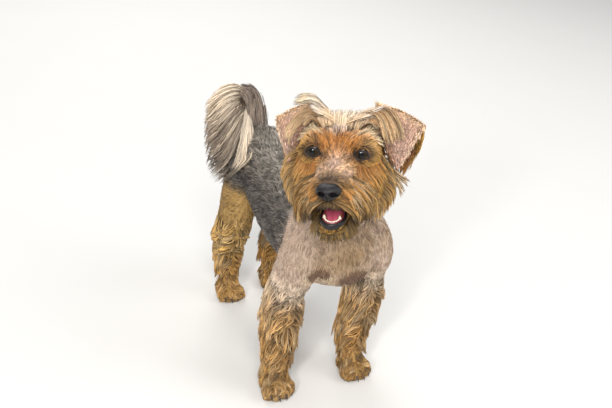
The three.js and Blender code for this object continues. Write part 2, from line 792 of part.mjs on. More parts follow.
const locksCut = coreCut.add(coat(headLocks, lockGap));
const jawSolid = jawCore().add(teeth()).subtract(coreCut).add(coat(beardLocks()).subtract(locksCut));
const jawCuts = [tongueBall(gap), neckInHead, trunkInHead];
headGroup.add(node("lower_jaw", without(jawSolid, jawCuts), coats.face));
headGroup.add(node("tongue", without(tongueBall(0), [coreCut]), tonguePink));

// Nose with its nostrils, their side slits and the groove between them
const noseCuts = [
  ball([0, -27, 45], [0.7, 6, 4], { wide: 4, high: 4 }),
  ball([-4.4, -21.5, 44.5], [2.4, 1.8, 4], { wide: 6, high: 4 }),
  ball([4.4, -21.5, 44.5], [2.4, 1.8, 4], { wide: 6, high: 4 }),
  ball([-8.2, -23.2, 42], [2.8, 0.9, 4], { wide: 6, high: 4 }),
  ball([8.2, -23.2, 42], [2.8, 0.9, 4], { wide: 6, high: 4 }),
].map((cut) => solid(cut));
headGroup.add(node("nose", without(noseBall(0), [coreCut, ...noseCuts]), black));

for (const [side, s] of sides) {
  const fringe = coat(fringeLocks(s, earSpread[side])).subtract(locksCut);
  const sheet = solid(ear(s, earSpread[side])).subtract(coreCut);
  headGroup.add(node(`ear_${side}`, sheet.add(fringe), coats.face));
  const eye = new THREE.Mesh(new THREE.SphereGeometry(eyeRadius, 14, 8), eyeGlass);
  eye.name = `eye_${side}`;
  eye.position.copy(eyePlace(s));
  headGroup.add(eye);
}

// The origin goes to the middle of the footprint.
const box = new THREE.Box3().setFromObject(dog, true);
dog.position.set(-(box.min.x + box.max.x) / 2, -(box.min.y + box.max.y) / 2, 0);

export default dog;
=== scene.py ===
import math
import bpy
import numpy as np
from mathutils import Matrix, Vector
from mathutils.bvhtree import BVHTree
from mathutils.kdtree import KDTree


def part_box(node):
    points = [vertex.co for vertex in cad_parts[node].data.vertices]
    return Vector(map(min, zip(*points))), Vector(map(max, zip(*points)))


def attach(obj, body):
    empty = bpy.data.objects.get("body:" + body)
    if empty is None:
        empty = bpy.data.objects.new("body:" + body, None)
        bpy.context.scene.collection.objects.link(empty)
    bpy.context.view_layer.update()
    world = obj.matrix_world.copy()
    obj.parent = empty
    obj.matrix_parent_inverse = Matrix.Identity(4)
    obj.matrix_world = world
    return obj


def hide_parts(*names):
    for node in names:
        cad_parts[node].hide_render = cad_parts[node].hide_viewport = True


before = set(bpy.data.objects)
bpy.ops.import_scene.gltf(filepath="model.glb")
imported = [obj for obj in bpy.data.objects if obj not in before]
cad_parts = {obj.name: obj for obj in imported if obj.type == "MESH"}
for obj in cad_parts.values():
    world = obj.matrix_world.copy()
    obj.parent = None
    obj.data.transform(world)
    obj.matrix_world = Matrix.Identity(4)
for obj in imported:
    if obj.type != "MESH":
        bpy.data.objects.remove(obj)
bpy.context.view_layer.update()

metre = 0.001  # the dictionaries are in millimetres

# The head's own frame: x to the dog's left, y up, z forward, zero midway between the eyes
headPose = {"yaw": -38.5, "pitch": 8.0, "roll": 7.0, "eyeLine": (-37.6, -118.0, 281.4), "eyeOut": 19.0}


def headAxes():
    yaw, pitch, roll = (math.radians(headPose[k]) for k in ("yaw", "pitch", "roll"))
    forward = np.array([math.sin(yaw) * math.cos(pitch), -math.cos(yaw) * math.cos(pitch), math.sin(pitch)])
    level = np.array([math.cos(yaw), math.sin(yaw), 0.0])
    up = np.cross(forward, level)
    left = level * math.cos(roll) + up * math.sin(roll)
    top = up * math.cos(roll) - level * math.sin(roll)
    return np.array([left, top, forward])


axes = headAxes()
eyeLine = np.array(headPose["eyeLine"])
eyeCentre = sum((np.array(c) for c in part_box("eye_left")), np.zeros(3)) / 2 / metre
shift = eyeCentre - (eyeLine + headPose["eyeOut"] * axes[0])  # from these places to the CAD frame's


def toWorld(p):
    return eyeLine + np.asarray(p, float) @ axes


def toHead(p):
    return (np.asarray(p, float) - eyeLine) @ axes.T


def placed(p):
    return (np.asarray(p, float) + shift) * metre


# Small maths
def unit(v):
    return v / np.maximum(np.linalg.norm(v, axis=-1, keepdims=True), 1e-9)


def dot(a, b):
    return np.sum(a * b, axis=-1, keepdims=True)


def ramp(x, low, high):
    t = np.clip((x - low) / (high - low), 0, 1)
    return t * t * (3 - 2 * t)


def colour(code):
    c = np.array([int(code[i:i + 2], 16) for i in (0, 2, 4)]) / 255
    return np.where(c <= 0.04045, c / 12.92, ((c + 0.055) / 1.055) ** 2.4)


noiseMix = (374761393, 668265263, 1442695041, 1274126177)  # odd numbers that scatter the cells' values


def noiseAt(p, size, seed=0):  # smooth noise from -1 to 1
    mixX, mixY, mixZ, mixAll = noiseMix
    q = np.asarray(p, float) / size + 31.7 * seed
    cell = np.floor(q).astype(np.int64)
    f = q - cell
    f = f * f * (3 - 2 * f)
    total = np.zeros(len(q))
    for dx in (0, 1):
        for dy in (0, 1):
            for dz in (0, 1):
                n = (cell[:, 0] + dx) * mixX + (cell[:, 1] + dy) * mixY + (cell[:, 2] + dz) * mixZ
                n = (n ^ (n >> 13)) * mixAll
                n = (n ^ (n >> 16)) & 0xFFFFFF
                near = [np.abs(1 - d - f[:, k]) for k, d in enumerate((dx, dy, dz))]
                total += near[0] * near[1] * near[2] * (n / 0x7FFFFF - 1)
    return total


def noise3(p, size, seed=0):
    return np.stack([noiseAt(p, size, seed + k) for k in range(3)], 1)


def spline(points, u, tension=None):  # even speed through the points, unless a tension is given
    pts = np.asarray(points, float)
    pts = np.vstack([2 * pts[0] - pts[1], pts, 2 * pts[-1] - pts[-2]])
    last = len(points) - 1
    x = np.clip(np.asarray(u, float), 0, 1) * last
    i = np.minimum(x.astype(int), last - 1)
    w = (x - i)[:, None]
    p0, p1, p2, p3 = (pts[i + k] for k in range(4))
    if tension is None:
        d0, d1, d2 = (np.maximum(np.linalg.norm(b - a, axis=1, keepdims=True) ** 0.5, 1e-4)
                      for a, b in ((p0, p1), (p1, p2), (p2, p3)))
        t1 = ((p1 - p0) / d0 - (p2 - p0) / (d0 + d1) + (p2 - p1) / d1) * d1
        t2 = ((p2 - p1) / d1 - (p3 - p1) / (d1 + d2) + (p3 - p2) / d2) * d1
    else:
        t1, t2 = tension * (p2 - p0), tension * (p3 - p1)
    a = 2 * p1 - 2 * p2 + t1 + t2
    b = -3 * p1 + 3 * p2 - 2 * t1 - t2
    return ((a * w + b) * w + t1) * w + p1


def through(knots, u):  # the same for many short paths at once, each with its own knots
    ends = 2 * knots[:, :1] - knots[:, 1:2], 2 * knots[:, -1:] - knots[:, -2:-1]
    pts = np.concatenate([ends[0], knots, ends[1]], 1)
    last = knots.shape[1] - 1
    x = np.clip(u, 0, 1) * last
    i = np.minimum(x.astype(int), last - 1)
    w, row = (x - i)[:, None], np.arange(len(knots))
    p0, p1, p2, p3 = (pts[row, i + k] for k in range(4))
    t1, t2 = (p2 - p0) / 2, (p3 - p1) / 2
    return (((2 * p1 - 2 * p2 + t1 + t2) * w + (3 * p2 - 3 * p1 - 2 * t1 - t2)) * w + t1) * w + p1


def ringFaces(rows, sides):  # the faces between rings of points
    faces = []
    for r in range(rows - 1):
        for i in range(sides):
            j = (i + 1) % sides
            faces.append((r * sides + i, r * sides + j, (r + 1) * sides + j, (r + 1) * sides + i))
    return faces


class Loft:  # a tapered form of elliptical rings on a smooth path, as the solids have
    def __init__(self, stations, side=(1, 0, 0), capStart=0.0, capEnd=0.0):
        s = np.asarray(stations, float)
        self.path, self.size = s[:, :3], s[:, 3:5]
        self.side = unit(np.asarray(side, float))
        self.capStart, self.capEnd = capStart, capEnd

    def section(self, u):
        u = np.atleast_1d(np.asarray(u, float))
        centre = spline(self.path, u)
        along = unit(spline(self.path, u + 1e-3) - spline(self.path, u - 1e-3))
        across = unit(self.side - dot(self.side, along) * along)
        return centre, along, across, np.cross(along, across), spline(self.size, u, 0.4)

    def surface(self, u, turn):
        centre, _, across, deep, size = self.section(u)
        turn = np.asarray(turn, float)[:, None]
        w, d = size[:, :1], size[:, 1:]
        at = centre + across * np.cos(turn) * w + deep * np.sin(turn) * d
        return at, unit(across * np.cos(turn) * d + deep * np.sin(turn) * w)

    def mesh(self, sides=40, rings=60, grow=0.0):
        rows = []
        turn = np.linspace(0, 2 * math.pi, sides, endpoint=False)[:, None]

        def row(u, push, scale):
            centre, along, across, deep, size = self.section(u)
            size = (size + grow) * scale
            rows.append(centre + along * push + across * np.cos(turn) * size[:, :1]
                        + deep * np.sin(turn) * size[:, 1:])

        caps = [(k / 6) * math.pi / 2 for k in range(1, 6)]
        for a in reversed(caps if self.capStart else []):
            row(0.0, -(self.capStart + grow) * math.sin(a), math.cos(a))
        for k in range(rings + 1):
            row(k / rings, 0, 1)
        for a in caps if self.capEnd else []:
            row(1.0, (self.capEnd + grow) * math.sin(a), math.cos(a))
        corners = np.vstack(rows + [rows[0].mean(0, keepdims=True), rows[-1].mean(0, keepdims=True)])
        faces = ringFaces(len(rows), sides)
        tip, last = len(rows) * sides, (len(rows) - 1) * sides
        for i in range(sides):
            j = (i + 1) % sides
            faces += [(tip, j, i), (tip + 1, last + i, last + j)]
        return corners, faces

    def nearest(self, p, count=60):  # the path's parameter nearest to each point, with its distance
        u = np.linspace(0, 1, count)
        centre = spline(self.path, u)
        gap = np.linalg.norm(p[:, None, :] - centre[None], axis=2)
        i = gap.argmin(1)
        return u[i], gap[np.arange(len(p)), i]


def ball(centre, radii, wide=40, high=26):  # its poles are on y
    corners = []
    for j in range(1, high):
        a = math.pi * j / high
        for i in range(wide):
            b = 2 * math.pi * i / wide
            corners.append((math.sin(a) * math.cos(b), math.cos(a), math.sin(a) * math.sin(b)))
    corners += [(0, 1, 0), (0, -1, 0)]
    faces = ringFaces(high - 1, wide)
    top, low = (high - 1) * wide, (high - 2) * wide
    for i in range(wide):
        k = (i + 1) % wide
        faces += [(top, k, i), (top + 1, low + i, low + k)]
    return np.array(corners) * np.asarray(radii, float) + np.asarray(centre, float), faces


def poleForward(points):  # turns a ball's poles from y to z
    return points[:, [0, 2, 1]] * (1, -1, 1)


def joined(parts):  # one set of points and faces from several
    points, faces, offset = [], [], 0
    for p, f in parts:
        points.append(p)
        faces += [tuple(i + offset for i in face) for face in f]
        offset += len(p)
    return np.vstack(points), faces


# Body and limbs: x, y, z, half width, half depth
body = {
    "trunk": Loft([(7, -82, 152, 33, 36), (7, -66, 153, 46, 46), (6, -40, 156, 50, 50), (4, -8, 155, 50, 50),
                   (2, 28, 159, 47, 45), (0, 62, 165, 42, 39), (-1, 90, 169, 39, 37), (-2, 110, 173, 32, 31)],
                  capStart=17, capEnd=16),
    "neck": Loft([(6, -48, 172, 36, 42), (1, -62, 196, 34, 38), (-8, -76, 222, 31, 33), (-20, -92, 254, 28, 29),
                  (-27, -101, 272, 26, 26)]),
    "foreRight": Loft([(-20, -38, 180, 16, 24), (-31, -62, 150, 19, 27), (-37, -52, 110, 18.5, 20.5),
                       (-42, -55, 86, 17, 18), (-44, -59, 64, 15.5, 16), (-45.5, -63, 44, 13, 13.5),
                       (-47, -66, 27, 11.5, 12), (-50, -71, 11, 11.5, 12)]),
    "foreLeft": Loft([(30, -38, 180, 16, 24), (44, -62, 150, 19, 27), (48, -52, 110, 18.5, 20.5),
                      (48, -54, 86, 17, 18), (44, -57, 64, 15.5, 16), (38, -60, 44, 13, 13.5),
                      (35, -65, 27, 11.5, 12), (36, -71, 11, 11.5, 12)]),
    "hindRight": Loft([(-24, 90, 168, 20, 32), (-36, 82, 136, 19, 27), (-42, 78, 104, 17.5, 21),
                       (-41, 90, 82, 14.5, 15.5), (-37, 102, 58, 12.5, 13), (-36, 101, 38, 11, 11.5),
                       (-37, 97, 22, 10.5, 11), (-38, 92, 10, 10.5, 11)]),
    "hindLeft": Loft([(20, 90, 168, 20, 32), (32, 84, 136, 19, 27), (35, 84, 104, 17.5, 21),
                      (31, 98, 82, 14.5, 15.5), (26, 112, 58, 12.5, 13), (22, 111, 38, 11, 11.5),
                      (20, 107, 22, 10.5, 11), (19, 102, 10, 10.5, 11)]),
    "stem": Loft([(-2, 118, 196, 10, 11), (-6, 123, 214, 9.5, 10), (-13, 126, 228, 9, 9), (-25, 127, 230, 8, 8),
                  (-34, 127, 217, 7, 7), (-38, 126, 200, 5, 5)], side=(1, -0.3, 0.2), capEnd=4),
    "muzzle": Loft([(0, -13, -6, 20, 15), (0, -17, 12, 15, 13), (0, -20, 28, 12, 11.5), (0, -20.5, 36, 10, 10)],
                   capEnd=3),
    "jaw": Loft([(0, -41, -14, 17, 9), (0, -48.5, 8, 13.5, 6.2), (0, -53.8, 24, 10, 3.6)], capEnd=5),
}
paws = {  # place, half width, half length, height
    "foreRight": ((-50, -71), 14, 17.5, 20), "foreLeft": ((36, -71), 14, 17.5, 20),
    "hindRight": ((-38, 92), 13, 16, 18), "hindLeft": ((19, 102), 13, 16, 18),
}
pawShape = {"pad": (0.95, 0.55, 0.8), "padBack": 3, "padRise": 0.45, "toes": (-1.5, -0.5, 0.5, 1.5),
            "toe": (0.34, 0.4, 0.44), "toeApart": 0.5, "toeAhead": (0.5, 0.72), "toeRise": 0.34}
skullBalls = [((0, -4, -30), (31.5, 23.5, 37)), ((0, -28, -22), (38, 30, 29))]
faceBalls = [((15, 6, -5), (13, 8, 9)), ((18, -3, -5), (14, 11, 11)), ((9.5, -27, 18), (8, 8.5, 16))]
skinDepth = {"trunk": -3.0, "neck": -4.0, "limb": -1.5, "stem": -1.0, "head": -1.0}


def toes(place, halfWidth, halfLength, height):
    x, y = place
    wide, tall, long = pawShape["toe"]
    radii = halfWidth * wide, height * tall, halfLength * long
    made = []
    for k in pawShape["toes"]:
        ahead = pawShape["toeAhead"][abs(k) < 1]  # the inner two stand further forward
        middle = x + k * halfWidth * pawShape["toeApart"], y - halfLength * ahead, height * pawShape["toeRise"]
        made.append((middle, radii))
    return made


# Skin: every form of the body joined and made one smooth surface
skinSizes = {"voxel": 1.7, "relaxBody": 14, "relaxHead": 3, "relaxPaw": 2}


def bodyForms():
    forms = []
    for name, loft in body.items():
        depth = skinDepth.get(name, skinDepth["limb"])
        if name in ("muzzle", "jaw"):
            p, f = loft.mesh(grow=skinDepth["head"] * 0.5, rings=30)
            forms.append((toWorld(p), f, "head" if name == "muzzle" else "jaw"))
        else:
            p, f = loft.mesh(grow=depth)
            forms.append((p, f, name))
    for name, (place, halfWidth, halfLength, height) in paws.items():
        x, y = place
        wide, tall, long = pawShape["pad"]
        p, f = ball((0, 0, 0), (halfWidth * wide, height * tall, halfLength * long))
        pad = x, y + pawShape["padBack"], height * pawShape["padRise"]
        forms.append((poleForward(p) + pad, f, "paw" + name))
        for middle, radii in toes(place, halfWidth, halfLength, height):
            p, f = ball((0, 0, 0), radii, 20, 14)
            forms.append((poleForward(p) + middle, f, "paw" + name))
    for centre, radii in skullBalls:
        p, f = ball(centre, np.array(radii) + skinDepth["head"])
        forms.append((toWorld(p), f, "head"))
    for s in (-1, 1):
        for centre, radii in faceBalls:
            p, f = ball((s * centre[0], *centre[1:]), radii)
            forms.append((toWorld(p), f, "head"))
    return forms


def meshArrays(obj):
    mesh = obj.data
    mesh.calc_loop_triangles()
    p = np.zeros(len(mesh.vertices) * 3)
    mesh.vertices.foreach_get("co", p)
    tris = np.zeros(len(mesh.loop_triangles) * 3, np.int32)
    mesh.loop_triangles.foreach_get("vertices", tris)
    return p.reshape(-1, 3), tris.reshape(-1, 3)


def newObject(name, mesh):
    obj = bpy.data.objects.new(name, mesh)
    bpy.context.scene.collection.objects.link(obj)
    return obj


def relaxed(p, edges, weight, rounds):
    degree = np.zeros(len(p))
    np.add.at(degree, edges.ravel(), 1)
    for _ in range(rounds):
        total = np.zeros_like(p)
        np.add.at(total, edges[:, 0], p[edges[:, 1]])
        np.add.at(total, edges[:, 1], p[edges[:, 0]])
        p = p + (total / degree[:, None] - p) * weight[:, None]
    return p


def vertexNormals(p, tris):
    n = np.zeros_like(p)
    face = np.cross(p[tris[:, 1]] - p[tris[:, 0]], p[tris[:, 2]] - p[tris[:, 0]])
    for k in range(3):
        np.add.at(n, tris[:, k], face)
    return unit(n)


# The eye's ball and opening, in the head's frame; lid is how far the lids' skin stands from its centre
eyeShape = {"radius": 8.0, "halfWidth": 5.3, "halfHeight": 3.55, "axis": (0.05, 0.04, 1.0), "drop": -0.2,
            "pinch": 0.32, "socket": 6.4, "lid": 8.5, "lidRidge": 0.35, "lidEnd": 2.2, "blend": (10, 15)}


def eyeFrame(s):
    forward = unit(np.array([s * eyeShape["axis"][0], eyeShape["axis"][1], eyeShape["axis"][2]]))
    across = unit(np.cross((0, 1, 0), forward))
    return np.array([across, np.cross(forward, across), forward])


def eyeOval(local):  # 1 on the lids' edge, less inside the opening
    x = local[:, 0] / eyeShape["halfWidth"]
    high = eyeShape["halfHeight"] * (1 - eyeShape["pinch"] * np.minimum(x * x, 1))
    return np.hypot(x, (local[:, 1] - eyeShape["drop"]) / high)


def eyeLocal(h, s):
    return (h - (s * headPose["eyeOut"], 0, 0)) @ eyeFrame(s).T


def carveHead(p):  # opens the lids over each eyeball
    h = toHead(p)
    inner, outer = eyeShape["blend"]
    for s in (-1, 1):
        local = eyeLocal(h, s)
        reach = np.linalg.norm(local, axis=1)
        oval = eyeOval(local)
        near = (reach < outer) & (local[:, 2] > -3)
        inside = near & (oval < 1.0) & (local[:, 2] > 0)
        lid = near & ~inside
        cover = eyeShape["lid"] + eyeShape["lidRidge"] * np.exp(-((oval - 1.12) / 0.2) ** 2)
        wanted = np.where(inside, np.minimum(reach, eyeShape["socket"]), reach)
        wanted = np.where(lid, np.maximum(reach, cover), wanted)
        flat = np.minimum(wanted, cover + (reach - cover) * ramp(oval, 1.0, eyeShape["lidEnd"]))
        wanted = np.where(lid & (oval < eyeShape["lidEnd"]), flat, wanted)
        scale = wanted / np.maximum(reach, 1e-6)
        moved = (s * headPose["eyeOut"], 0, 0) + (local * scale[:, None]) @ eyeFrame(s)
        blend = np.where(near, np.maximum(1 - ramp(reach, inner, outer), inside * 1.0), 0)[:, None]
        h = h + (moved - h) * blend
    return toWorld(h)


def makeSkin():
    forms = bodyForms()
    corners, faces = joined([(p, f) for p, f, _ in forms])
    labels = np.repeat([label for _, _, label in forms], [len(p) for p, _, _ in forms])
    mesh = bpy.data.meshes.new("skin_forms")
    mesh.from_pydata(corners.tolist(), [], faces)
    rough = newObject("skin_forms", mesh)
    remesh = rough.modifiers.new("join", "REMESH")
    remesh.mode = "VOXEL"
    remesh.voxel_size = skinSizes["voxel"]
    whole = bpy.data.meshes.new_from_object(rough.evaluated_get(bpy.context.evaluated_depsgraph_get()))
    bpy.data.objects.remove(rough)
    skin = newObject("skin", whole)
    p, tris = meshArrays(skin)
    edges = np.zeros(len(whole.edges) * 2, np.int32)
    whole.edges.foreach_get("vertices", edges)
    edges = edges.reshape(-1, 2)
    tree = KDTree(len(corners))
    for i, c in enumerate(corners):
        tree.insert(c, i)
    tree.balance()
    region = labels[[tree.find(c)[1] for c in p]]
    isHead = np.isin(region, ("head", "jaw"))
    isPaw = np.char.startswith(region, "paw")
    p = relaxed(p, edges, np.full(len(p), 0.5), skinSizes["relaxPaw"])
    p = relaxed(p, edges, np.where(isPaw, 0.0, 0.5), skinSizes["relaxHead"])
    p = relaxed(p, edges, np.where(isPaw | isHead, 0.0, 0.5), skinSizes["relaxBody"])
    p = carveHead(p)
    p[:, 2] = np.maximum(p[:, 2], 0.0)
    whole.vertices.foreach_set("co", placed(p).ravel())
    whole.update()
    whole.polygons.foreach_set("use_smooth", np.ones(len(whole.polygons), bool))
    return skin, p, tris, region


skin, skinPoints, skinTris, skinRegion = makeSkin()
skinNormals = vertexNormals(skinPoints, skinTris)
skinTree = BVHTree.FromPolygons(skinPoints.tolist(), skinTris.tolist())
print("skin", len(skinPoints), "points", len(skinTris), "triangles")

# Markings: the same colours for the skin and the coat above it, by place alone
coatColours = {
    "gold": "cb9c50", "goldDark": "a97a37", "straw": "e0bd90", "sand": "bb8c58", "cream": "f4e1bb",
    "white": "f1e9df", "bare": "e4cfb8", "chin": "6e5220", "brow": "a46722", "rust": "94592a",
    "olive": "8b6a2c", "bridge": "d2b3a0", "smoke": "54402f", "tipDark": "2a1a10", "saddle": "776e65",
    "saddleDark": "5a5652", "silver": "b5ada0", "chest": "c8b09c", "throat": "a58862", "patch": "775c4a",
    "thigh": "ad8b52", "knee": "cfa760", "paw": "ad854a", "mouth": "3a1414", "lid": "4f3019",
    "liner": "1d1310",
}
tint = {name: colour(code) for name, code in coatColours.items()}


def paint(base, name, weight):
    return base + (tint[name] - base) * np.clip(weight, 0, 1)[:, None]


def spot(p, centre, radii):
    return np.exp(-np.sum(((p - np.asarray(centre, float)) / np.asarray(radii, float)) ** 2, axis=1))


headSpots = [  # tint, strength, place on the left half, radii
    ("olive", 0.75, (40, -34, -16), (16, 20, 24)),
    ("cream", 0.8, (30, 14, -22), (12, 12, 14)),
    ("cream", 1.2, (0, 21, -21), (26, 11, 17)),
    ("white", 1.3, (0, 22, -26), (25, 11, 18)),
    ("brow", 0.95, (13, 10, 2), (11, 8, 12)),
    ("brow", 1.0, (0, 9, 2), (9, 9, 13)),
    ("brow", 0.9, (0, 14, -4), (19, 8, 10)),
    ("rust", 0.85, (19, -1, 4), (11, 7, 9)),
    ("chin", 0.9, (0, -59, 22), (18, 8, 18)),
    ("bridge", 1.1, (0, -6, 14), (9, 8, 14)),
    ("bridge", 1.0, (11, -14, 18), (8, 7, 11)),
    ("smoke", 1.4, (0, -13, 34), (12, 6, 9)),
    ("goldDark", 0.7, (14, -25, 30), (10, 9, 12)),
    ("chin", 1.1, (0, -33, 35), (11, 5, 9)),
    ("rust", 0.8, (16, -34, 26), (9, 9, 12)),
    ("tipDark", 0.9, (17, -45, 22), (8, 9, 12)),
    ("olive", 0.8, (4, -64, 14), (14, 12, 16)),
    # dark inside the mouth: partly its lining's colour, partly painted shade
    ("mouth", 1.6, (0, -40, 12), (10, 7, 12)),
]


def leftHalf(h):  # the same place on the head's left half
    return np.stack([np.abs(h[:, 0]), h[:, 1], h[:, 2]], 1)


def headMarkings(h):
    m = leftHalf(h)
    c = np.tile(tint["gold"], (len(h), 1))
    for name, strength, centre, radii in headSpots:
        c = paint(c, name, strength * spot(m, centre, radii))
    for s in (-1, 1):
        local = eyeLocal(h, s)
        edge = eyeOval(local)
        near = 1 - ramp(np.linalg.norm(local, axis=1), 11, 14)
        # dark brown round each eye, partly its own colour and partly painted shade of the socket
        c = paint(c, "lid", near * (1 - ramp(edge, 1.5, 2.5)) * 0.85)
        c = paint(c, "liner", near * (1 - ramp(edge, 1.15, 1.5)))
        c = paint(c, "liner", 0.8 * near * spot(local, (-s * 7.2, -1.2, 5), (2.2, 1.6, 4)))  # inner corner, partly dark skin and partly painted shade
    return c


chestPatches = [((-24, 141), 11, 9), ((11, 135), 19, 10.5)]  # place across and up, half width, half height
legTints = {  # tint, strength, where it comes in on the way down the limb
    "hind": [("knee", 1.0, (0.24, 0.34)), ("goldDark", 0.7, (0.5, 0.7)), ("paw", 0.8, (0.78, 1.0))],
    "fore": [("goldDark", 0.5, (0.3, 0.45)), ("gold", 0.6, (0.3, 0.45)), ("goldDark", 0.6, (0.55, 0.75)),
             ("paw", 0.8, (0.75, 0.95))],
}


def bodyMarkings(p):
    x, y, z = p.T
    c = np.tile(tint["chest"], (len(p), 1))
    rear = ramp(y + 6 * noiseAt(p, 14, 3), -50, -34)
    # darker tan at the throat, partly the hair's colour and partly painted shadow under the beard
    c = paint(c, "throat", 0.9 * spot(p, (0, -106, 168), (26, 30, 26)))
    c = paint(c, "throat", 0.6 * ramp(noiseAt(p, 15, 12), -0.1, 0.6) * ramp(x, -10, 10))
    for name in ("foreRight", "foreLeft"):
        arm = 1 - ramp(body[name].nearest(p)[1], 23, 30)
        rear = rear * (1 - arm * (1 - ramp(z, 140, 165)))
    c = paint(c, "saddle", rear)
    c = paint(c, "silver", rear * 0.5 * ramp(noiseAt(p, 8, 21), 0.05, 0.6))
    c = paint(c, "saddleDark", rear * 0.7 * ramp(noiseAt(p, 10, 22), 0.0, 0.6))
    c = paint(c, "saddleDark", rear * 0.5 * ramp(z, 128, 145) * (1 - ramp(z, 160, 185)))
    c = paint(c, "silver", rear * 0.5 * ramp(z, 175, 205))
    c = paint(c, "silver", rear * 0.75 * (1 - ramp(z, 112, 142)))
    chest = 1 - ramp(y, -78, -70)
    for (across, up), wide, high in chestPatches:
        inside = np.hypot((x - across) / wide, (z - up) / high) + 0.12 * noiseAt(p, 6, 7)
        c = paint(c, "cream", 0.5 * chest * np.exp(-((inside - 1.2) / 0.16) ** 2) * (z < up))
        c = paint(c, "patch", chest * (1 - ramp(inside, 0.75, 1.05)))
    c = paint(c, "throat", 0.8 * spot(p, (-22, -100, 205), (26, 20, 26)))
    c = paint(c, "throat", 0.6 * spot(p, (-8, -92, 152), (28, 22, 14)))
    for name in ("hindRight", "hindLeft", "foreRight", "foreLeft"):
        u, gap = body[name].nearest(p)
        if name.startswith("hind"):
            near = 1 - ramp(gap, 26, 36)
            c = paint(c, "thigh", near * (1 - ramp(z, 144, 160)))
        else:
            near = (1 - ramp(gap, 24, 34)) * ramp(-z, -134, -122)
            c = paint(c, "bare", near * ramp(u, 0.12, 0.2) * (1 - ramp(u, 0.3, 0.5)) * 0.9)
        for tone, strength, span in legTints[name[:4]]:
            c = paint(c, tone, near * ramp(u, *span) * strength)
    nape = ramp(z, 200, 235) * ramp(y, -100, -78)
    return paint(c, "saddle", nape * 0.8)


headReach = {"centre": (0, -24, -14), "radii": (54, 53, 64), "blend": (0.92, 1.1)}  # where its markings hold


def markings(p):
    h = toHead(p)
    inHead = np.linalg.norm((h - headReach["centre"]) / headReach["radii"], axis=1)
    weight = 1 - ramp(inHead, *headReach["blend"])
    return bodyMarkings(p) * (1 - weight)[:, None] + headMarkings(h) * weight[:, None]


# Materials
def shader(name, roughness, **values):
    material = bpy.data.materials.new(name)
    material.use_nodes = True
    surface = material.node_tree.nodes["Principled BSDF"]
    surface.inputs["Roughness"].default_value = roughness
    for socket, value in values.items():
        surface.inputs[socket.replace("_", " ")].default_value = value
    return material, surface


def mottleGroup():  # breaks a colour into lighter and darker flecks
    group = bpy.data.node_groups.new("mottle", "ShaderNodeTree")
    put = group.interface.new_socket
    for label, kind, value in (("Color", "NodeSocketColor", (0.5, 0.5, 0.5, 1)),
                               ("Scale", "NodeSocketFloat", 300.0), ("Strength", "NodeSocketFloat", 0.3)):
        put(name=label, in_out="INPUT", socket_type=kind).default_value = value
    put(name="Color", in_out="OUTPUT", socket_type="NodeSocketColor")
    put(name="Height", in_out="OUTPUT", socket_type="NodeSocketFloat")
    nodes, links = group.nodes, group.links
    entry, leave = nodes.new("NodeGroupInput"), nodes.new("NodeGroupOutput")
    place, noise = nodes.new("ShaderNodeTexCoord"), nodes.new("ShaderNodeTexNoise")
    noise.inputs["Detail"].default_value = 4
    scale, lift = nodes.new("ShaderNodeMath"), nodes.new("ShaderNodeMath")
    scale.operation, lift.operation = "MULTIPLY_ADD", "SUBTRACT"
    lift.inputs[1].default_value = 0.5
    scale.inputs[2].default_value = 1.0
    tone = nodes.new("ShaderNodeVectorMath")
    tone.operation = "SCALE"
    links.new(place.outputs["Object"], noise.inputs["Vector"])
    links.new(entry.outputs["Scale"], noise.inputs["Scale"])
    links.new(noise.outputs["Fac"], lift.inputs[0])
    links.new(lift.outputs[0], scale.inputs[0])
    links.new(entry.outputs["Strength"], scale.inputs[1])
    links.new(entry.outputs["Color"], tone.inputs[0])
    links.new(scale.outputs[0], tone.inputs["Scale"])
    links.new(tone.outputs[0], leave.inputs["Color"])
    links.new(noise.outputs["Fac"], leave.inputs["Height"])
    return group


mottle = mottleGroup()


def colourFrom(material, name):  # a colour attribute of the mesh
    attribute = material.node_tree.nodes.new("ShaderNodeAttribute")
    attribute.attribute_name = name
    return attribute.outputs["Color"]


def mottled(name, roughness, base, scale, strength, bump=0.0, depth=0.0004, **values):
    material, surface = shader(name, roughness, **values)
    nodes, links = material.node_tree.nodes, material.node_tree.links
    group = nodes.new("ShaderNodeGroup")
    group.node_tree = mottle
    group.inputs["Scale"].default_value = scale
    group.inputs["Strength"].default_value = strength
    if base == "coat":
        links.new(colourFrom(material, base), group.inputs["Color"])
    else:
        group.inputs["Color"].default_value = (*colour(base), 1)
    links.new(group.outputs["Color"], surface.inputs["Base Color"])
    if bump:
        node = nodes.new("ShaderNodeBump")
        node.inputs["Strength"].default_value = bump
        node.inputs["Distance"].default_value = depth
        links.new(group.outputs["Height"], node.inputs["Height"])
        links.new(node.outputs["Normal"], surface.inputs["Normal"])
    return material


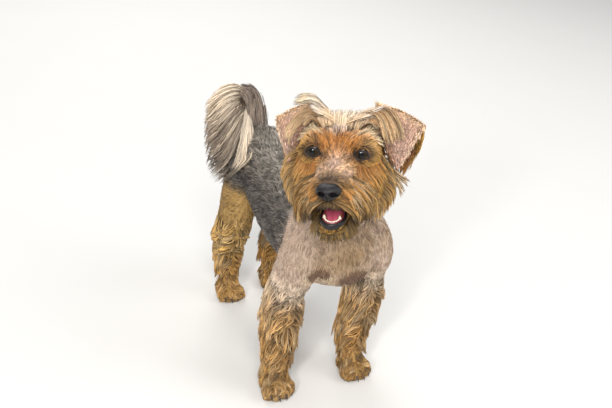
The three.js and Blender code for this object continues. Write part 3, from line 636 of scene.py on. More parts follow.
finishes = {  # base is a colour, or the mesh's own coat colours; bump depth in metres
    "fur": {"name": "short_fur", "roughness": 0.85, "base": "coat", "scale": 900.0, "strength": 0.5, "bump": 0.7,
            "depth": 0.0006},
    "hair": {"name": "hair", "roughness": 0.62, "base": "coat", "scale": 500.0, "strength": 0.25},
    "leather": {"name": "nose_leather", "roughness": 0.34, "base": "181515", "scale": 2200.0, "strength": 0.6,
                "bump": 0.7, "Specular_IOR_Level": 0.3},
    "lip": {"name": "lip_black", "roughness": 0.42, "base": "1c1818", "scale": 900.0, "strength": 0.5, "bump": 0.3,
            "depth": 0.0003, "Specular_IOR_Level": 0.35},
    "tongue": {"name": "tongue_pink", "roughness": 0.42, "base": "c0566c", "scale": 1500.0, "strength": 0.35,
               "bump": 0.35, "depth": 0.0003, "Coat_Weight": 0.3, "Coat_Roughness": 0.2},
    "gum": {"name": "gum", "roughness": 0.4, "base": "8a3a42", "scale": 900.0, "strength": 0.5, "bump": 0.2,
            "depth": 0.0003, "Coat_Weight": 0.3},
    "ivory": {"name": "ivory", "roughness": 0.25, "base": "f0e6d0", "scale": 300.0, "strength": 0.15,
              "Coat_Weight": 0.4},
    "horn": {"name": "horn", "roughness": 0.35, "base": "2a211c", "scale": 700.0, "strength": 0.5, "bump": 0.2,
             "depth": 0.0002},
}
finish = {key: mottled(**look) for key, look in finishes.items()}
print("materials", len(finish))


def paintMesh(mesh, colours):
    layer = mesh.color_attributes.new("coat", "FLOAT_COLOR", "POINT")
    full = np.ones((len(colours), 4), np.float32)
    full[:, :3] = colours
    layer.data.foreach_set("color", full.ravel())


def addPiece(name, mesh, material, slotName, *nodes):
    mesh.materials.append(material)
    piece = newObject(name, mesh)
    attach(piece, "root")
    if nodes:
        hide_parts(*nodes)
    return piece


def solidPiece(name, points, faces, material, slotName, *nodes):
    mesh = bpy.data.meshes.new(name)
    mesh.from_pydata(placed(points).tolist(), [], faces)
    mesh.polygons.foreach_set("use_smooth", np.ones(len(faces), bool))
    print(name, len(faces), "faces")
    return addPiece(name, mesh, material, slotName, *nodes)


paintMesh(skin.data, markings(skinPoints) * 0.8)  # darker, as it lies in the hair's shade
skin.data.materials.append(finish["fur"])
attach(skin, "root")


# Strands: tapered three-sided blades with a ridge, each with its own path
strandShape = {"root": 0.55, "swell": 2.2, "taper": 0.97, "curve": 2.4, "ridge": 0.4, "floor": 0.4,
               "uvSize": 0.003, "uvStart": 0.02, "uvRange": 0.94}


def strandMesh(name, path, out, width, tints, unwrap, slotName="tan_coat"):
    count, rings = path.shape[0], path.shape[1] - 1
    along = np.gradient(path, axis=1)
    across = unit(np.cross(along, out))
    ridge = unit(np.cross(across, along))
    t = np.arange(rings) / rings
    taper = np.minimum(1, strandShape["root"] + strandShape["swell"] * t)
    taper = taper * np.sqrt(1 - (t * strandShape["taper"]) ** strandShape["curve"])
    half = (width[:, None] * taper / 2)[..., None]
    base = path[:, :rings]
    left, right = base - across[:, :rings] * half, base + across[:, :rings] * half
    top = base + ridge[:, :rings] * half * 2 * strandShape["ridge"]
    points = np.concatenate([np.stack([left, right, top], 2).reshape(count, rings * 3, 3), path[:, rings:]], 1)
    points[..., 2] = np.maximum(points[..., 2], strandShape["floor"])
    per, last = rings * 3 + 1, (rings - 1) * 3
    faces = []
    for r in range(0, last, 3):
        for a, b in ((0, 1), (1, 2), (2, 0)):
            faces += [(r + a, r + 3 + b, r + b), (r + a, r + 3 + a, r + 3 + b)]
    faces += [(last, per - 1, last + 1), (last + 1, per - 1, last + 2), (last + 2, per - 1, last), (0, 1, 2)]
    tris = (np.array(faces)[None] + (np.arange(count) * per)[:, None, None]).reshape(-1, 3)
    mesh = bpy.data.meshes.new(name)
    mesh.vertices.add(count * per)
    mesh.vertices.foreach_set("co", placed(points.reshape(-1, 3)).ravel())
    mesh.loops.add(len(tris) * 3)
    mesh.loops.foreach_set("vertex_index", tris.ravel())
    mesh.polygons.add(len(tris))
    mesh.polygons.foreach_set("loop_start", np.arange(len(tris)) * 3)
    mesh.polygons.foreach_set("use_smooth", np.ones(len(tris), bool))
    # every strand has a small patch of the map, at its root's place
    u, v = np.tile([0.0, 1.0, 0.5], rings), np.repeat(np.arange(rings) / rings, 3)
    local = np.stack([np.append(u, 0.5), np.append(v, 1.0)], 1) * strandShape["uvSize"]
    root = strandShape["uvStart"] + strandShape["uvRange"] * np.clip(unwrap(path[:, 0]), 0, 1)
    uv = (root[:, None] + local[None]).reshape(-1, 2)
    mesh.uv_layers.new(name="OFBake").data.foreach_set("uv", uv[tris.ravel()].ravel())
    mesh.update()
    shade = np.concatenate([np.repeat(tints[:, :rings], 3, axis=1), tints[:, rings:]], 1)
    paintMesh(mesh, shade.reshape(-1, 3))
    print(name, count, "tufts", len(tris), "triangles")
    return addPiece(name, mesh, finish["hair"], slotName)


def wrapRound(origin, upAxis, frontAxis, length):  # an unwrap round an axis
    up, front = unit(np.asarray(upAxis, float)), np.asarray(frontAxis, float)
    front = unit(front - dot(front, up) * up)
    side = np.cross(up, front)

    def unwrap(p):
        q = p - np.asarray(origin, float)
        turn = np.arctan2(q @ side, q @ front) / (2 * math.pi) + 0.5
        return np.stack([turn, (q @ up) / length], 1)
    return unwrap


def wrapBall(p):  # an unwrap of the head round its own upright axis
    h = toHead(p) - (0, -18, -20)
    turn, rise = np.arctan2(h[:, 0], h[:, 2]), np.arcsin(h[:, 1] / np.linalg.norm(h, axis=1))
    return np.stack([turn / (2 * math.pi) + 0.5, rise / math.pi + 0.5], 1)


def rootsOn(regions, count, rng, density):  # random places on the skin, with their normals
    tris = skinTris[np.isin(skinRegion[skinTris[:, 0]], regions)]
    a, b, c = (skinPoints[tris[:, k]] for k in range(3))
    weight = np.linalg.norm(np.cross(b - a, c - a), axis=1) * density((a + b + c) / 3)
    pick = rng.choice(len(tris), count, p=weight / weight.sum())
    x, y = rng.random((2, count))
    flip = x + y > 1
    x, y = np.where(flip, 1 - x, x)[:, None], np.where(flip, 1 - y, y)[:, None]
    a, b, c = tris[pick].T
    at, n = (v[a] * (1 - x - y) + v[b] * x + v[c] * y for v in (skinPoints, skinNormals))
    return at, unit(n)


def nearestSkin(p):
    at, n = np.empty_like(p), np.empty_like(p)
    for i, q in enumerate(p):
        hit = skinTree.find_nearest(q)
        at[i], n[i] = hit[0], hit[1]
    return at, n


wholeTurn = 6.283
combShape = {"liftVary": (0.6, 1.4), "press": 0.4, "waveStart": 3, "gatherCurve": 1.3}


def combed(roots, normals, comb, look, rng):  # lays each hair over the skin, then gathers it into tufts
    rings, count = look["rings"], len(roots)
    _, length, lift = comb(roots, normals)
    length = length * rng.uniform(1 - look["vary"], 1 + look["vary"], count)
    lift = lift * rng.uniform(*combShape["liftVary"], count)
    spin = look["spin"] * noiseAt(roots, look["swirl"], 5) + rng.normal(0, look["stray"], count)
    path = np.empty((count, rings + 1, 3))
    out = np.empty_like(path)
    p, n = roots - normals * look["sink"], normals
    path[:, 0], out[:, 0] = p, normals
    for k in range(1, rings + 1):
        t = k / rings
        way, _, _ = comb(p, n)
        way = unit(way - dot(way, n) * n)
        cross = np.cross(n, way)
        way = way * np.cos(spin)[:, None] + cross * np.sin(spin)[:, None]
        p = p + way * (length / rings)[:, None]
        at, n = nearestSkin(p)
        height = lift * (t ** look["rise"]) + look["rest"]
        high = dot(p - at, n)[:, 0]
        loose = look["loose"] * t
        press = np.maximum(height * combShape["press"] - high, 0)
        p = p + n * ((height - high) * (1 - loose) + press * loose)[:, None]
        path[:, k], out[:, k] = p, n
    across = unit(np.cross(np.gradient(path, axis=1), out))
    t = np.linspace(0, 1, rings + 1)[None]
    phase = wholeTurn * noiseAt(roots, look["swirl"], 9)[:, None]
    wave = look["wave"] * np.sin(wholeTurn * t * length[:, None] / look["waveLength"] + phase)
    path = path + across * (wave * np.minimum(1, t * combShape["waveStart"]))[..., None]
    guides = rng.choice(count, max(1, count // look["clump"]), replace=False)
    tree = KDTree(len(guides))
    for i, g in enumerate(guides):
        tree.insert(roots[g], i)
    tree.balance()
    owner = guides[[tree.find(r)[1] for r in roots]]
    gather = 1 - look["gather"] * t[..., None] ** combShape["gatherCurve"]
    pulled = path[owner] + (path[:, :1] - path[owner][:, :1]) * gather
    path = path + (pulled - path) * (look["follow"] * t[..., None])
    return path, out, owner


def strandTints(path, owner, rng, root, tip, vary, guideVary):  # shade at the root and the tip, and its spread: a darker root, partly the hair's own colour and partly painted shade among the hairs, and a lighter tip
    count, points = path.shape[:2]
    t = np.linspace(0, 1, points)[None, :, None]
    base = markings(path[:, 0])[:, None] ** 1.2 * (1 - t) + markings(path[:, -1])[:, None] * t
    tone = np.exp(rng.normal(0, vary, count) + guideVary * rng.normal(0, 1, count)[owner])
    return base * (root + (tip - root) * t) * np.clip(tone, 0.3, 1.8)[:, None, None]


# How the hair lies on the head, for its left half: place, direction, length, lift
headComb = [
    ((0, -11, 33), (0.25, 0.3, -0.9), 6, 0.7), ((0, -6, 16), (0.25, 0.5, -0.8), 8, 1.0),
    ((0, 2, 6), (0.1, 1.0, -0.3), 10, 1.6), ((0, 12, -2), (0.15, 1.0, -0.5), 14, 3.0),
    ((0, 19, -24), (0.25, 0.25, -1.0), 17, 6.5), ((12, 19, -30), (0.7, 0.2, -0.7), 17, 6.5),
    ((9, -4, 9), (0.45, 0.35, -0.6), 7, 0.8), ((11, 8, 4), (0.3, 1.0, -0.1), 11, 2.2),
    ((18, 11, 0), (0.55, 0.9, -0.2), 14, 3.2), ((26, 6, -3), (0.95, 0.3, -0.4), 14, 2.6),
    ((29, -2, -3), (0.9, -0.5, -0.4), 12, 1.6), ((20, -10, 6), (0.75, -0.65, -0.2), 9, 1.2),
    ((11, -11, 12), (0.8, -0.25, -0.5), 8, 0.9), ((13, -17, 22), (0.9, -0.4, -0.35), 15, 2.4),
    ((9, -24, 34), (0.9, -0.5, -0.05), 17, 3.0), ((2, -30, 38), (0.5, -0.85, 0.1), 11, 1.6),
    ((16, -28, 26), (0.7, -0.75, -0.05), 22, 4.4), ((17, -33, 12), (0.6, -0.85, -0.15), 22, 5.0),
    ((29, -18, -2), (0.75, -0.65, -0.2), 22, 5.0), ((37, -28, -18), (0.4, -0.9, -0.25), 24, 7.5),
    ((33, -6, -20), (0.6, -0.7, -0.3), 18, 6.5), ((30, 8, -20), (0.8, 0.1, -0.6), 14, 4.0),
    ((26, -46, -12), (0.2, -0.95, -0.2), 22, 6.0), ((0, -56, -22), (0.05, -0.8, -0.5), 14, 4.0),
    ((30, 0, -44), (0.4, -0.7, -0.6), 17, 5.0), ((0, 10, -62), (0.1, -0.8, -0.5), 18, 5.0),
    ((20, -30, -48), (0.3, -0.9, -0.3), 18, 5.0),
]
jawComb = [
    ((0, -57, 28), (0.05, -0.95, 0.25), 12, 2.4), ((10, -53, 20), (0.45, -0.9, 0.12), 14, 2.8),
    ((13, -50, 4), (0.5, -0.85, -0.1), 15, 3.4), ((0, -56, 6), (0.05, -0.95, -0.2), 12, 2.8),
]


def combFrom(guides):
    place = np.array([g[0] for g in guides], float)
    way = unit(np.array([g[1] for g in guides], float))
    sizes = np.array([g[2:] for g in guides], float)

    def comb(p, n):
        h = toHead(p)
        side = np.sign(h[:, 0] + 1e-6)
        gap = np.linalg.norm(leftHalf(h)[:, None] - place[None], axis=2)
        share = 1 / (gap + 1.0) ** 4
        share /= share.sum(1, keepdims=True)
        d = share @ way
        d[:, 0] *= side * ramp(np.abs(h[:, 0]), -1, 3)
        d = unit(d) @ axes
        both = share @ sizes
        return unit(d - dot(d, n) * n), both[:, 0], both[:, 1]
    return comb


looks = {
    "short": {"rings": 3, "vary": 0.25, "spin": 0.3, "swirl": 9, "stray": 0.1, "sink": 0.5, "rise": 0.8,
              "rest": 0.2, "loose": 0.2, "wave": 0.2, "waveLength": 14, "clump": 8, "gather": 0.7, "follow": 0.75},
    "face": {"rings": 4, "vary": 0.25, "spin": 0.35, "swirl": 9, "stray": 0.1, "sink": 0.6, "rise": 0.75,
             "rest": 0.25, "loose": 0.2, "wave": 0.5, "waveLength": 14, "clump": 11, "gather": 0.75, "follow": 0.8},
    "legs": {"rings": 4, "vary": 0.3, "spin": 0.35, "swirl": 16, "stray": 0.12, "sink": 0.8, "rise": 0.6,
             "rest": 0.3, "loose": 0.3, "wave": 1.3, "waveLength": 10, "clump": 16, "gather": 0.8, "follow": 0.85},
    "saddle": {"rings": 2, "vary": 0.3, "spin": 0.55, "swirl": 11, "stray": 0.3, "sink": 0.6, "rise": 0.9,
               "rest": 0.3, "loose": 0.0, "wave": 0.3, "waveLength": 8, "clump": 6, "gather": 0.6, "follow": 0.6},
    "clipped": {"rings": 2, "vary": 0.3, "spin": 0.3, "swirl": 12, "stray": 0.12, "sink": 0.5, "rise": 1,
                "rest": 0.1, "loose": 0.0, "wave": 0.0, "waveLength": 8, "clump": 9, "gather": 0.5, "follow": 0.5},
}


bareFace = {"lids": 1.04, "mouthSide": 12, "mouth": (-52, -33), "nose": (0, -20.5, 38),
            "noseRadii": (9.6, 7.3, 6.8)}


def clearOfFace(p):  # 0 in the eyes' openings, in the mouth and under the nose, else 1
    h = toHead(p)
    eyes = np.ones(len(p))
    for s in (-1, 1):
        local = eyeLocal(h, s)
        eyes *= np.where((local[:, 2] > 0) & (eyeOval(local) < bareFace["lids"]), 0, 1)
    low, high = bareFace["mouth"]
    mouth = (np.abs(h[:, 0]) < bareFace["mouthSide"]) & (h[:, 1] < high) & (h[:, 1] > low) & (h[:, 2] > 0)
    nose = np.linalg.norm((h - bareFace["nose"]) / bareFace["noseRadii"], axis=1) < 1
    return eyes * ~mouth * ~nose


faceHair = {  # shade is the root's and the tip's; the dark root is partly painted shade among the hairs
    "face_short": {"region": "head", "look": "short", "count": 5600, "width": 0.62, "shade": (0.55, 1.12),
                   "vary": 0.24},
    "face_long": {"region": "head", "look": "face", "count": 6900, "width": 0.9, "shade": (0.4, 1.12),
                  "vary": 0.32},
    "jaw": {"region": "jaw", "look": "face", "count": 1500, "width": 0.9, "shade": (0.4, 1.12), "vary": 0.3},
}


def makeFace():
    rng = np.random.default_rng(11)
    way = combFrom(headComb)

    def front(p):  # more hair at the front, less under the eyes
        h = toHead(p)
        under = spot(leftHalf(h), (23, -9, 3), (9, 5, 7))
        return clearOfFace(p) * (1 + 2.2 * ramp(h[:, 2], -18, 6)) * (1 - 0.85 * under)

    def lengthAt(p):
        return way(p, np.tile([0, 0, 1.0], (len(p), 1)))[1]

    density = {"face_short": lambda p: front(p) * (1.001 - ramp(lengthAt(p), 10.5, 13)),
               "face_long": lambda p: front(p) * ramp(lengthAt(p), 9.5, 12.5), "jaw": front}
    for name, hair in faceHair.items():
        comb = combFrom(jawComb) if name == "jaw" else way
        roots, normals = rootsOn([hair["region"]], hair["count"], rng, density[name])
        path, out, owner = combed(roots, normals, comb, looks[hair["look"]], rng)
        tints = strandTints(path, owner, rng, *hair["shade"], hair["vary"], hair["vary"])
        wide = hair["width"] * rng.uniform(0.7, 1.3, hair["count"])
        strandMesh("coat_" + name, path, out, wide, tints, wrapBall, slotName="face_coat")


makeFace()

# Kinds of long hair on the head, each with its own share of these sizes
sheetLook = {
    "rings": 5, "thick": 1.3, "gather": 0.68, "wave": 0.5, "waveLength": 13, "rise": 0.4, "sink": 0.9,
    "short": 0.35, "start": 0.3, "front": 1.3, "least": 0.15, "stretch": 1.0,  # shares of the sheet's length
    # soft sets the spread of tones and the strength of the painted shade at each hair's root
    "light": 0.2, "dark": 0.0, "soft": 1.0, "vary": (0.4, 0.3, 0.1), "fine": 1.0,
}
headHair = {
    "crownSide": {"count": 520, "clumps": 70, "tints": ("straw", "white"), "soft": 0.42, "start": 0.7,
                  "front": 0.8, "short": 0.5, "thick": 1.2, "wave": 0.5, "fine": 0.75},
    "crownMiddle": {"count": 150, "clumps": 22, "tints": ("cream", "white"), "soft": 0.4, "start": 0.7,
                    "front": 0.8, "short": 0.5, "thick": 1.2, "wave": 0.5, "fine": 0.75},
    "toEarLeft": {"count": 400, "clumps": 60, "tints": ("straw", "white"), "soft": 0.5, "start": 0.6,
                  "front": 0.8, "short": 0.5, "thick": 2.8, "fine": 0.7},
    "earFront": {"count": 200, "clumps": 34, "tints": ("brow", "straw"), "light": 0.6, "start": 0.5,
                 "thick": 1.6, "fine": 0.75},
    "overEar": {"count": 360, "clumps": 44, "tints": ("sand", "straw"), "light": 0.5, "start": 0.5,
                "thick": 1.6, "fine": 0.62},
    "toEarRight": {"count": 380, "clumps": 56, "tints": ("straw", "white"), "soft": 0.5, "start": 0.6,
                   "front": 0.8, "short": 0.5, "thick": 2.8, "fine": 0.7},
    "upcurl": {"count": 260, "clumps": 20, "tints": ("bare", "cream")},
    "brow": {"count": 400, "clumps": 44, "tints": ("brow", "cream"), "light": 0.0, "soft": 0.7,
             "thick": 0.9, "fine": 0.85},
    "underEye": {"count": 400, "clumps": 50, "tints": ("brow", "gold"), "light": 0.15, "soft": 0.8,
                 "start": 0.5, "front": 2.0, "short": 0.5, "thick": 0.9, "fine": 0.8},
    "cheek": {"count": 860, "clumps": 64, "tints": ("goldDark", "gold"), "light": 0.4, "soft": 1.15,
              "start": 0.6, "thick": 1.8, "fine": 0.85},
    # dark-ish hair behind the cheek, by the ear: partly the hair's colour, partly painted shade of the gap under
    # the ear
    "behindCheek": {"count": 340, "clumps": 20, "tints": ("rust", "goldDark"), "start": 0.6, "thick": 0.8},
    "earTip": {"count": 220, "clumps": 18, "tints": ("thigh", "chest"), "light": 0.3},
    "besideNose": {"count": 260, "clumps": 40, "tints": ("brow", "gold"), "light": 0.5, "start": 0.45,
                   "short": 0.55, "thick": 0.7, "fine": 0.7},
    "moustache": {"count": 880, "clumps": 64, "tints": ("goldDark", "gold"), "light": 0.25, "dark": 0.9,
                  "soft": 1.15, "start": 0.6, "thick": 1.8, "fine": 0.85},
    "curls": {"count": 170, "clumps": 15, "tints": ("goldDark", "tipDark"), "light": 0.0, "dark": 0.6,
              "start": 0.6, "short": 0.5, "thick": 1.2, "wave": 1.2, "fine": 0.6},
    "lipFringe": {"count": 300, "clumps": 40, "tints": ("chin", "tipDark"), "light": 0.0, "dark": 0.9,
                  "short": 0.6, "thick": 0.6},
    "mouthCorner": {"count": 220, "clumps": 30, "tints": ("chin", "olive"), "light": 0.0, "dark": 0.6,
                    "soft": 0.6, "thick": 1.2},
    "beard": {"count": 900, "clumps": 60, "tints": ("chin", "olive"), "light": 0.08, "thick": 2.0,
              "fine": 0.9},
}
# Sheets: a kind, its sides, and lines of places from the roots to the tips, which each hair runs through
headSheets = {
    "forelock": [
        ("crownSide", (1, -1), [[(0, 15, -9), (9, 14.5, -9), (18, 12.5, -9), (27, 8, -11)], [(0, 20, -14),
         (10, 20, -15), (21, 19, -16), (31, 16, -18)], [(1, 25, -24), (13, 25, -25), (25, 24, -26),
         (35, 18, -27)], [(3, 23, -46), (15, 22, -45), (27, 19, -42), (34, 11, -38)]]),
        ("crownMiddle", (1,), [[(-5, 15, -9), (0, 15.3, -9), (5, 15, -9)], [(-6, 20, -15), (0, 20.5, -15),
         (6, 20, -15)], [(-7, 24, -25), (0, 25, -25), (7, 24, -25)], [(-8, 23, -44), (0, 24, -45),
         (8, 23, -44)]]),
        ("toEarLeft", (1,), [[(2, 20, -12), (6, 21, -30), (5, 17, -46)], [(17, 25, -14), (21, 27, -30),
         (20, 16, -52)], [(32, 29, -17), (40, 29, -30), (33, 6, -56)]]),
        ("earFront", (1, -1), [[(14, 17, -7), (17, 16, -20)], [(23, 22, -10), (27, 24, -22)],
         [(30, 14, -10), (37, 19, -20)]]),
        ("overEar", (1,), [[(18, 29, -16), (31, 33, -25)], [(28, 27, -12), (40, 29, -20)], [(33, 15, -9),
         (48, 18, -16)], [(37, 2, -9), (50, 6, -14)]]),
        ("toEarRight", (1,), [[(-2, 20, -12), (-6, 21, -30), (-5, 17, -46)], [(-15, 25, -14),
         (-18, 28, -28), (-19, 16, -52)], [(-28, 28, -18), (-30, 34, -28), (-31, 8, -55)]]),
        ("upcurl", (1,), [[(-10, 24, -18), (-13, 24, -38)], [(-21, 32, -22), (-25, 36, -34)],
         [(-33, 32, -25), (-33, 38, -31)], [(-45, 28, -27), (-41, 37, -30)]]),
        ("overEar", (1,), [[(-11, 25, -15), (-20, 31, -24)], [(-28, 22, -15), (-35, 26, -22)],
         [(-40, 6, -11), (-45, 13, -18)], [(-40, -4, -11), (-46, 3, -15)]]),
        ("brow", (1, -1), [[(5, 5, 5), (13, 8, 3), (22, 6, -1)], [(12, 14, 1), (21, 14, -2), (29, 8, -4)],
         [(23, 20, -9), (32, 14, -10), (37, 1, -10)]]),
    ],
    "cheeks": [
        ("underEye", (1, -1), [[(13, -7, 7), (19, -6.5, 6.5), (25, -4.5, 4.5), (28.5, 1, 1)], [(15, -16, 9),
         (21, -16, 5), (28, -13, 0), (32, -4, -3)], [(19, -25, 12), (27, -25, 5), (34, -21, -2),
         (36, -12, -6)], [(24, -35, 12), (32, -36, 4), (38, -31, -4), (41, -20, -9)]]),
        ("cheek", (1,), [[(28, 4, -6), (33, -12, -8), (33, -26, -6), (26, -40, 0)], [(36, -6, -10),
         (42, -22, -13), (41, -36, -11), (31, -49, -5)], [(41, -20, -15), (44, -35, -17), (40, -50, -15),
         (29, -62, -8)]]),
        ("cheek", (-1,), [[(29, 4, -6), (34, -12, -8), (34, -26, -6), (26, -40, 0)], [(40, -5, -9),
         (45, -19, -12), (42, -34, -10), (32, -49, -4)], [(48, -16, -14), (49, -32, -16), (42, -50, -14),
         (32, -63, -7)]]),
        ("behindCheek", (1, -1), [[(30, 10, -21), (44, 0, -34), (56, -4, -36)], [(34, 0, -19),
         (42, -8, -27), (53, -16, -36)], [(37, -16, -17), (42, -22, -24), (47, -30, -33)]]),
        ("earTip", (1,), [[(37, -12, -15), (39, -27, -16)], [(46, -19, -18), (46, -32, -19)],
         [(57, -27, -22), (49, -43, -20)]]),
    ],
    "moustache": [
        ("besideNose", (1, -1), [[(6, -13, 34), (7, -10, 26), (8, -8, 19), (9, -8, 12)], [(10, -21, 34),
         (14, -20, 27), (16, -18, 20), (17, -16, 11)], [(16, -31, 31), (21, -31, 25), (25, -28, 17),
         (27, -24, 8)], [(19, -41, 27), (26, -43, 19), (31, -42, 10), (34, -34, 1)]]),
        ("moustache", (1,), [[(3, -28, 40), (9, -26, 36), (13, -20, 27), (15, -13, 16)], [(9, -33, 35),
         (18, -32, 27), (23, -29, 18), (26, -22, 8)], [(15, -41, 26), (24, -42, 18), (29, -41, 9),
         (32, -34, 0)], [(18, -49, 19), (21, -54, 15), (26, -55, 8), (32, -49, -2)]]),
        ("moustache", (-1,), [[(3, -28, 40), (9, -26, 36), (13, -20, 27), (15, -13, 16)], [(9, -33, 35),
         (19, -32, 27), (25, -29, 18), (28, -22, 8)], [(15, -41, 26), (25, -43, 19), (31, -43, 10),
         (34, -35, 0)], [(17, -51, 20), (24, -60, 15), (29, -62, 8), (34, -52, -2)]]),
        ("curls", (-1,), [[(14, -30, 31), (20, -28, 25), (26, -23, 15)], [(20, -38, 27), (27, -36, 19),
         (31, -31, 11)], [(22, -48, 22), (29, -47, 15), (33, -42, 8)], [(19, -57, 18), (26, -58, 12),
         (30, -53, 6)]]),
        ("curls", (1,), [[(14, -30, 31), (20, -28, 25), (25, -22, 15)], [(19, -38, 27), (25, -36, 19),
         (29, -29, 11)], [(19, -47, 21), (25, -46, 14), (29, -40, 7)], [(14, -53, 17), (20, -55, 11),
         (24, -50, 5)]]),
        ("lipFringe", (1,), [[(-11, -32, 30), (-5, -30, 37), (0, -29, 39), (5, -30, 37), (11, -32, 30)],
         [(-14, -40, 28), (-5, -37, 36), (0, -35, 38), (5, -37, 36), (14, -40, 28)]]),
        ("mouthCorner", (1, -1), [[(9, -36, 16), (11, -42, 10), (12, -48, 5)], [(15, -42, 17),
         (17, -49, 12), (17, -55, 6)], [(18, -51, 16), (19, -57, 11), (19, -62, 5)]]),
        ("beard", (1,), [[(-12, -48, 8), (-10, -53, 18), (0, -56, 24), (10, -53, 18), (12, -48, 8)],
         [(-17, -56, 9), (-12, -60, 20), (0, -62, 27), (12, -60, 20), (17, -56, 9)], [(-20, -66, 3),
         (-13, -69, 14), (0, -70, 19), (13, -69, 14), (20, -66, 3)]]),
    ],
}
def sheetStrands(hair, lines, side, rng, centre=(0, -22, -25), push=None):
    count, rings, clumps, soft = (hair[key] for key in ("count", "rings", "clumps", "soft"))
    lines = [np.array(line, float) * (side, 1, 1) for line in lines]
    s, guides = rng.random(count), np.sort(rng.random(clumps))
    owner = np.abs(s[:, None] - guides[None]).argmin(1)
    reach = 1 - hair["short"] * rng.random(count)
    start = hair["start"] * rng.random(count) ** hair["front"]
    reach = np.clip(reach, start + hair["least"], start + hair["stretch"])
    layer = rng.normal(0, hair["thick"], count) * 0.5 + rng.normal(0, hair["thick"], clumps)[owner] * 0.6
    path, sideways = np.empty((2, count, rings + 1, 3))
    for k in range(rings + 1):
        t = start + (reach - start) * k / rings
        at = s + (guides[owner] - s) * hair["gather"] * t ** 1.3
        knots = np.stack([spline(line, at) for line in lines], 1)
        ahead = np.stack([spline(line, at + 0.02) - spline(line, at - 0.02) for line in lines], 1)
        path[:, k], sideways[:, k] = through(knots, t), through(ahead, t)
    out = unit(np.cross(np.gradient(path, axis=1), sideways))
    out = out * np.sign(dot(out, path - centre) + 1e-9)
    t = (start[:, None] + np.linspace(0, 1, rings + 1)[None] * (reach - start)[:, None])[..., None]
    own = np.linspace(0, 1, rings + 1)[None, :, None]
    phase = rng.random(clumps)[owner][:, None, None]
    length = np.linalg.norm(path[:, -1] - path[:, 0], axis=1)[:, None, None]
    path = path + (out if push is None else push) * layer[:, None, None] * t
    path = path + out * (hair["rise"] * t - hair["sink"] * (1 - own) ** 2)
    wave = np.sin(wholeTurn * (t * length / hair["waveLength"] + phase)) * hair["wave"] * np.minimum(1, 3 * t)
    path = path + unit(sideways) * wave
    spread, tuftSpread, drop = hair["vary"]
    tone = rng.normal(0, spread, count) + tuftSpread * rng.normal(0, 1, clumps)[owner] - drop
    tone = np.exp(soft * tone).clip(0, 1.6)[:, None, None]
    root, tip = (tint[name] for name in hair["tints"])
    # each hair darkens towards its own root, more as soft rises: painted shade among the hairs; the tints give the
    # colour from the sheet's root to its tips
    shade = (root * (1 - t ** 1.6) + tip * t ** 1.6) * (1.12 - (0.78 - 0.7 * own) * soft) * tone
    light = hair["light"] * rng.random(clumps)[owner][:, None, None] * own
    shade = shade + (tint["cream"] - shade) * light
    dark = hair["dark"] * ramp(t, 0.5, 0.95) * (rng.random(clumps) < 0.7)[owner][:, None, None]
    return path, out, shade * (1 - dark) + tint["tipDark"] * dark, s, owner


def makeSheets():
    rng = np.random.default_rng(17)
    for name, sheets in headSheets.items():
        made, fine = [], []
        for kind, sides, lines in sheets:
            hair = dict(sheetLook, **headHair[kind])
            for side in sides:
                made.append(sheetStrands(hair, lines, side, rng))
                fine.append(np.full(hair["count"], hair["fine"]))
        path, out, shade = (np.concatenate([m[k] for m in made]) for k in range(3))
        world = toWorld(path.reshape(-1, 3)).reshape(path.shape)
        width = rng.uniform(0.5, 1.15, len(path)) * np.concatenate(fine)
        strandMesh("coat_" + name, world, out @ axes, width, shade, wrapBall, slotName="face_coat")


makeSheets()


# Short hair of the body: shade is the root's and the tip's; the dark root is partly painted shade among the hairs
bodyHair = {
    "saddle": {"regions": ["trunk", "neck", "stem", "hindRight", "hindLeft"], "count": 16800, "look": "saddle",
               "shade": (0.4, 1.25), "vary": 0.5, "tuftVary": 0.42, "width": (0.65, 1.25), "slot": "saddle_coat"},
    "chest": {"regions": ["trunk", "neck", "foreRight", "foreLeft"], "count": 8800, "look": "clipped",
              "shade": (0.78, 1.04), "vary": 0.15, "tuftVary": 0.16, "width": (0.5, 0.9), "slot": "tan_coat"},
    "thighs": {"regions": ["hindRight", "hindLeft"], "count": 3600, "look": "clipped",
               "shade": (0.78, 1.04), "vary": 0.15, "tuftVary": 0.16, "width": (0.5, 0.9), "slot": "tan_coat"},
}
clip = {"length": 5.4, "lift": 0.8}


def trunkComb(p, n):
    front = 1 - ramp(p[:, 1], -62, -40)
    way = np.stack([0 * front, 1 - front, -0.35 - 0.65 * front], 1)
    limb = ramp(-p[:, 2], -135, -112)[:, None]
    way = way * (1 - limb) + np.array([0, 0.15, -1]) * limb
    return unit(way - dot(way, n) * n), 8.0 - 4.0 * front, np.full(len(p), 2.4)


def clippedComb(p, n):
    return trunkComb(p, n)[0], np.full(len(p), clip["length"]), np.full(len(p), clip["lift"])


def saddleDensity(p):  # from behind the shoulders to the thighs and the foot of the tail
    x, y, z = p.T
    share = (ramp(y, -52, -36) + 0.001) * ramp(z, 100, 112)
    share = share * (1 - 0.97 * ramp(z, 204, 214) * ramp(y, 90, 100))
    return share * (1 - (1 - ramp(z, 146, 160)) * ramp(np.abs(x), 32, 36) * ramp(y, 40, 60))


bodyDensity = {
    "saddle": saddleDensity,
    "chest": lambda p: ramp(p[:, 2], 98, 114) * (1.001 - ramp(p[:, 1], -52, -36)),
    "thighs": lambda p: ramp(p[:, 2], 100, 118) * (1.001 - ramp(p[:, 2], 150, 166)),
}


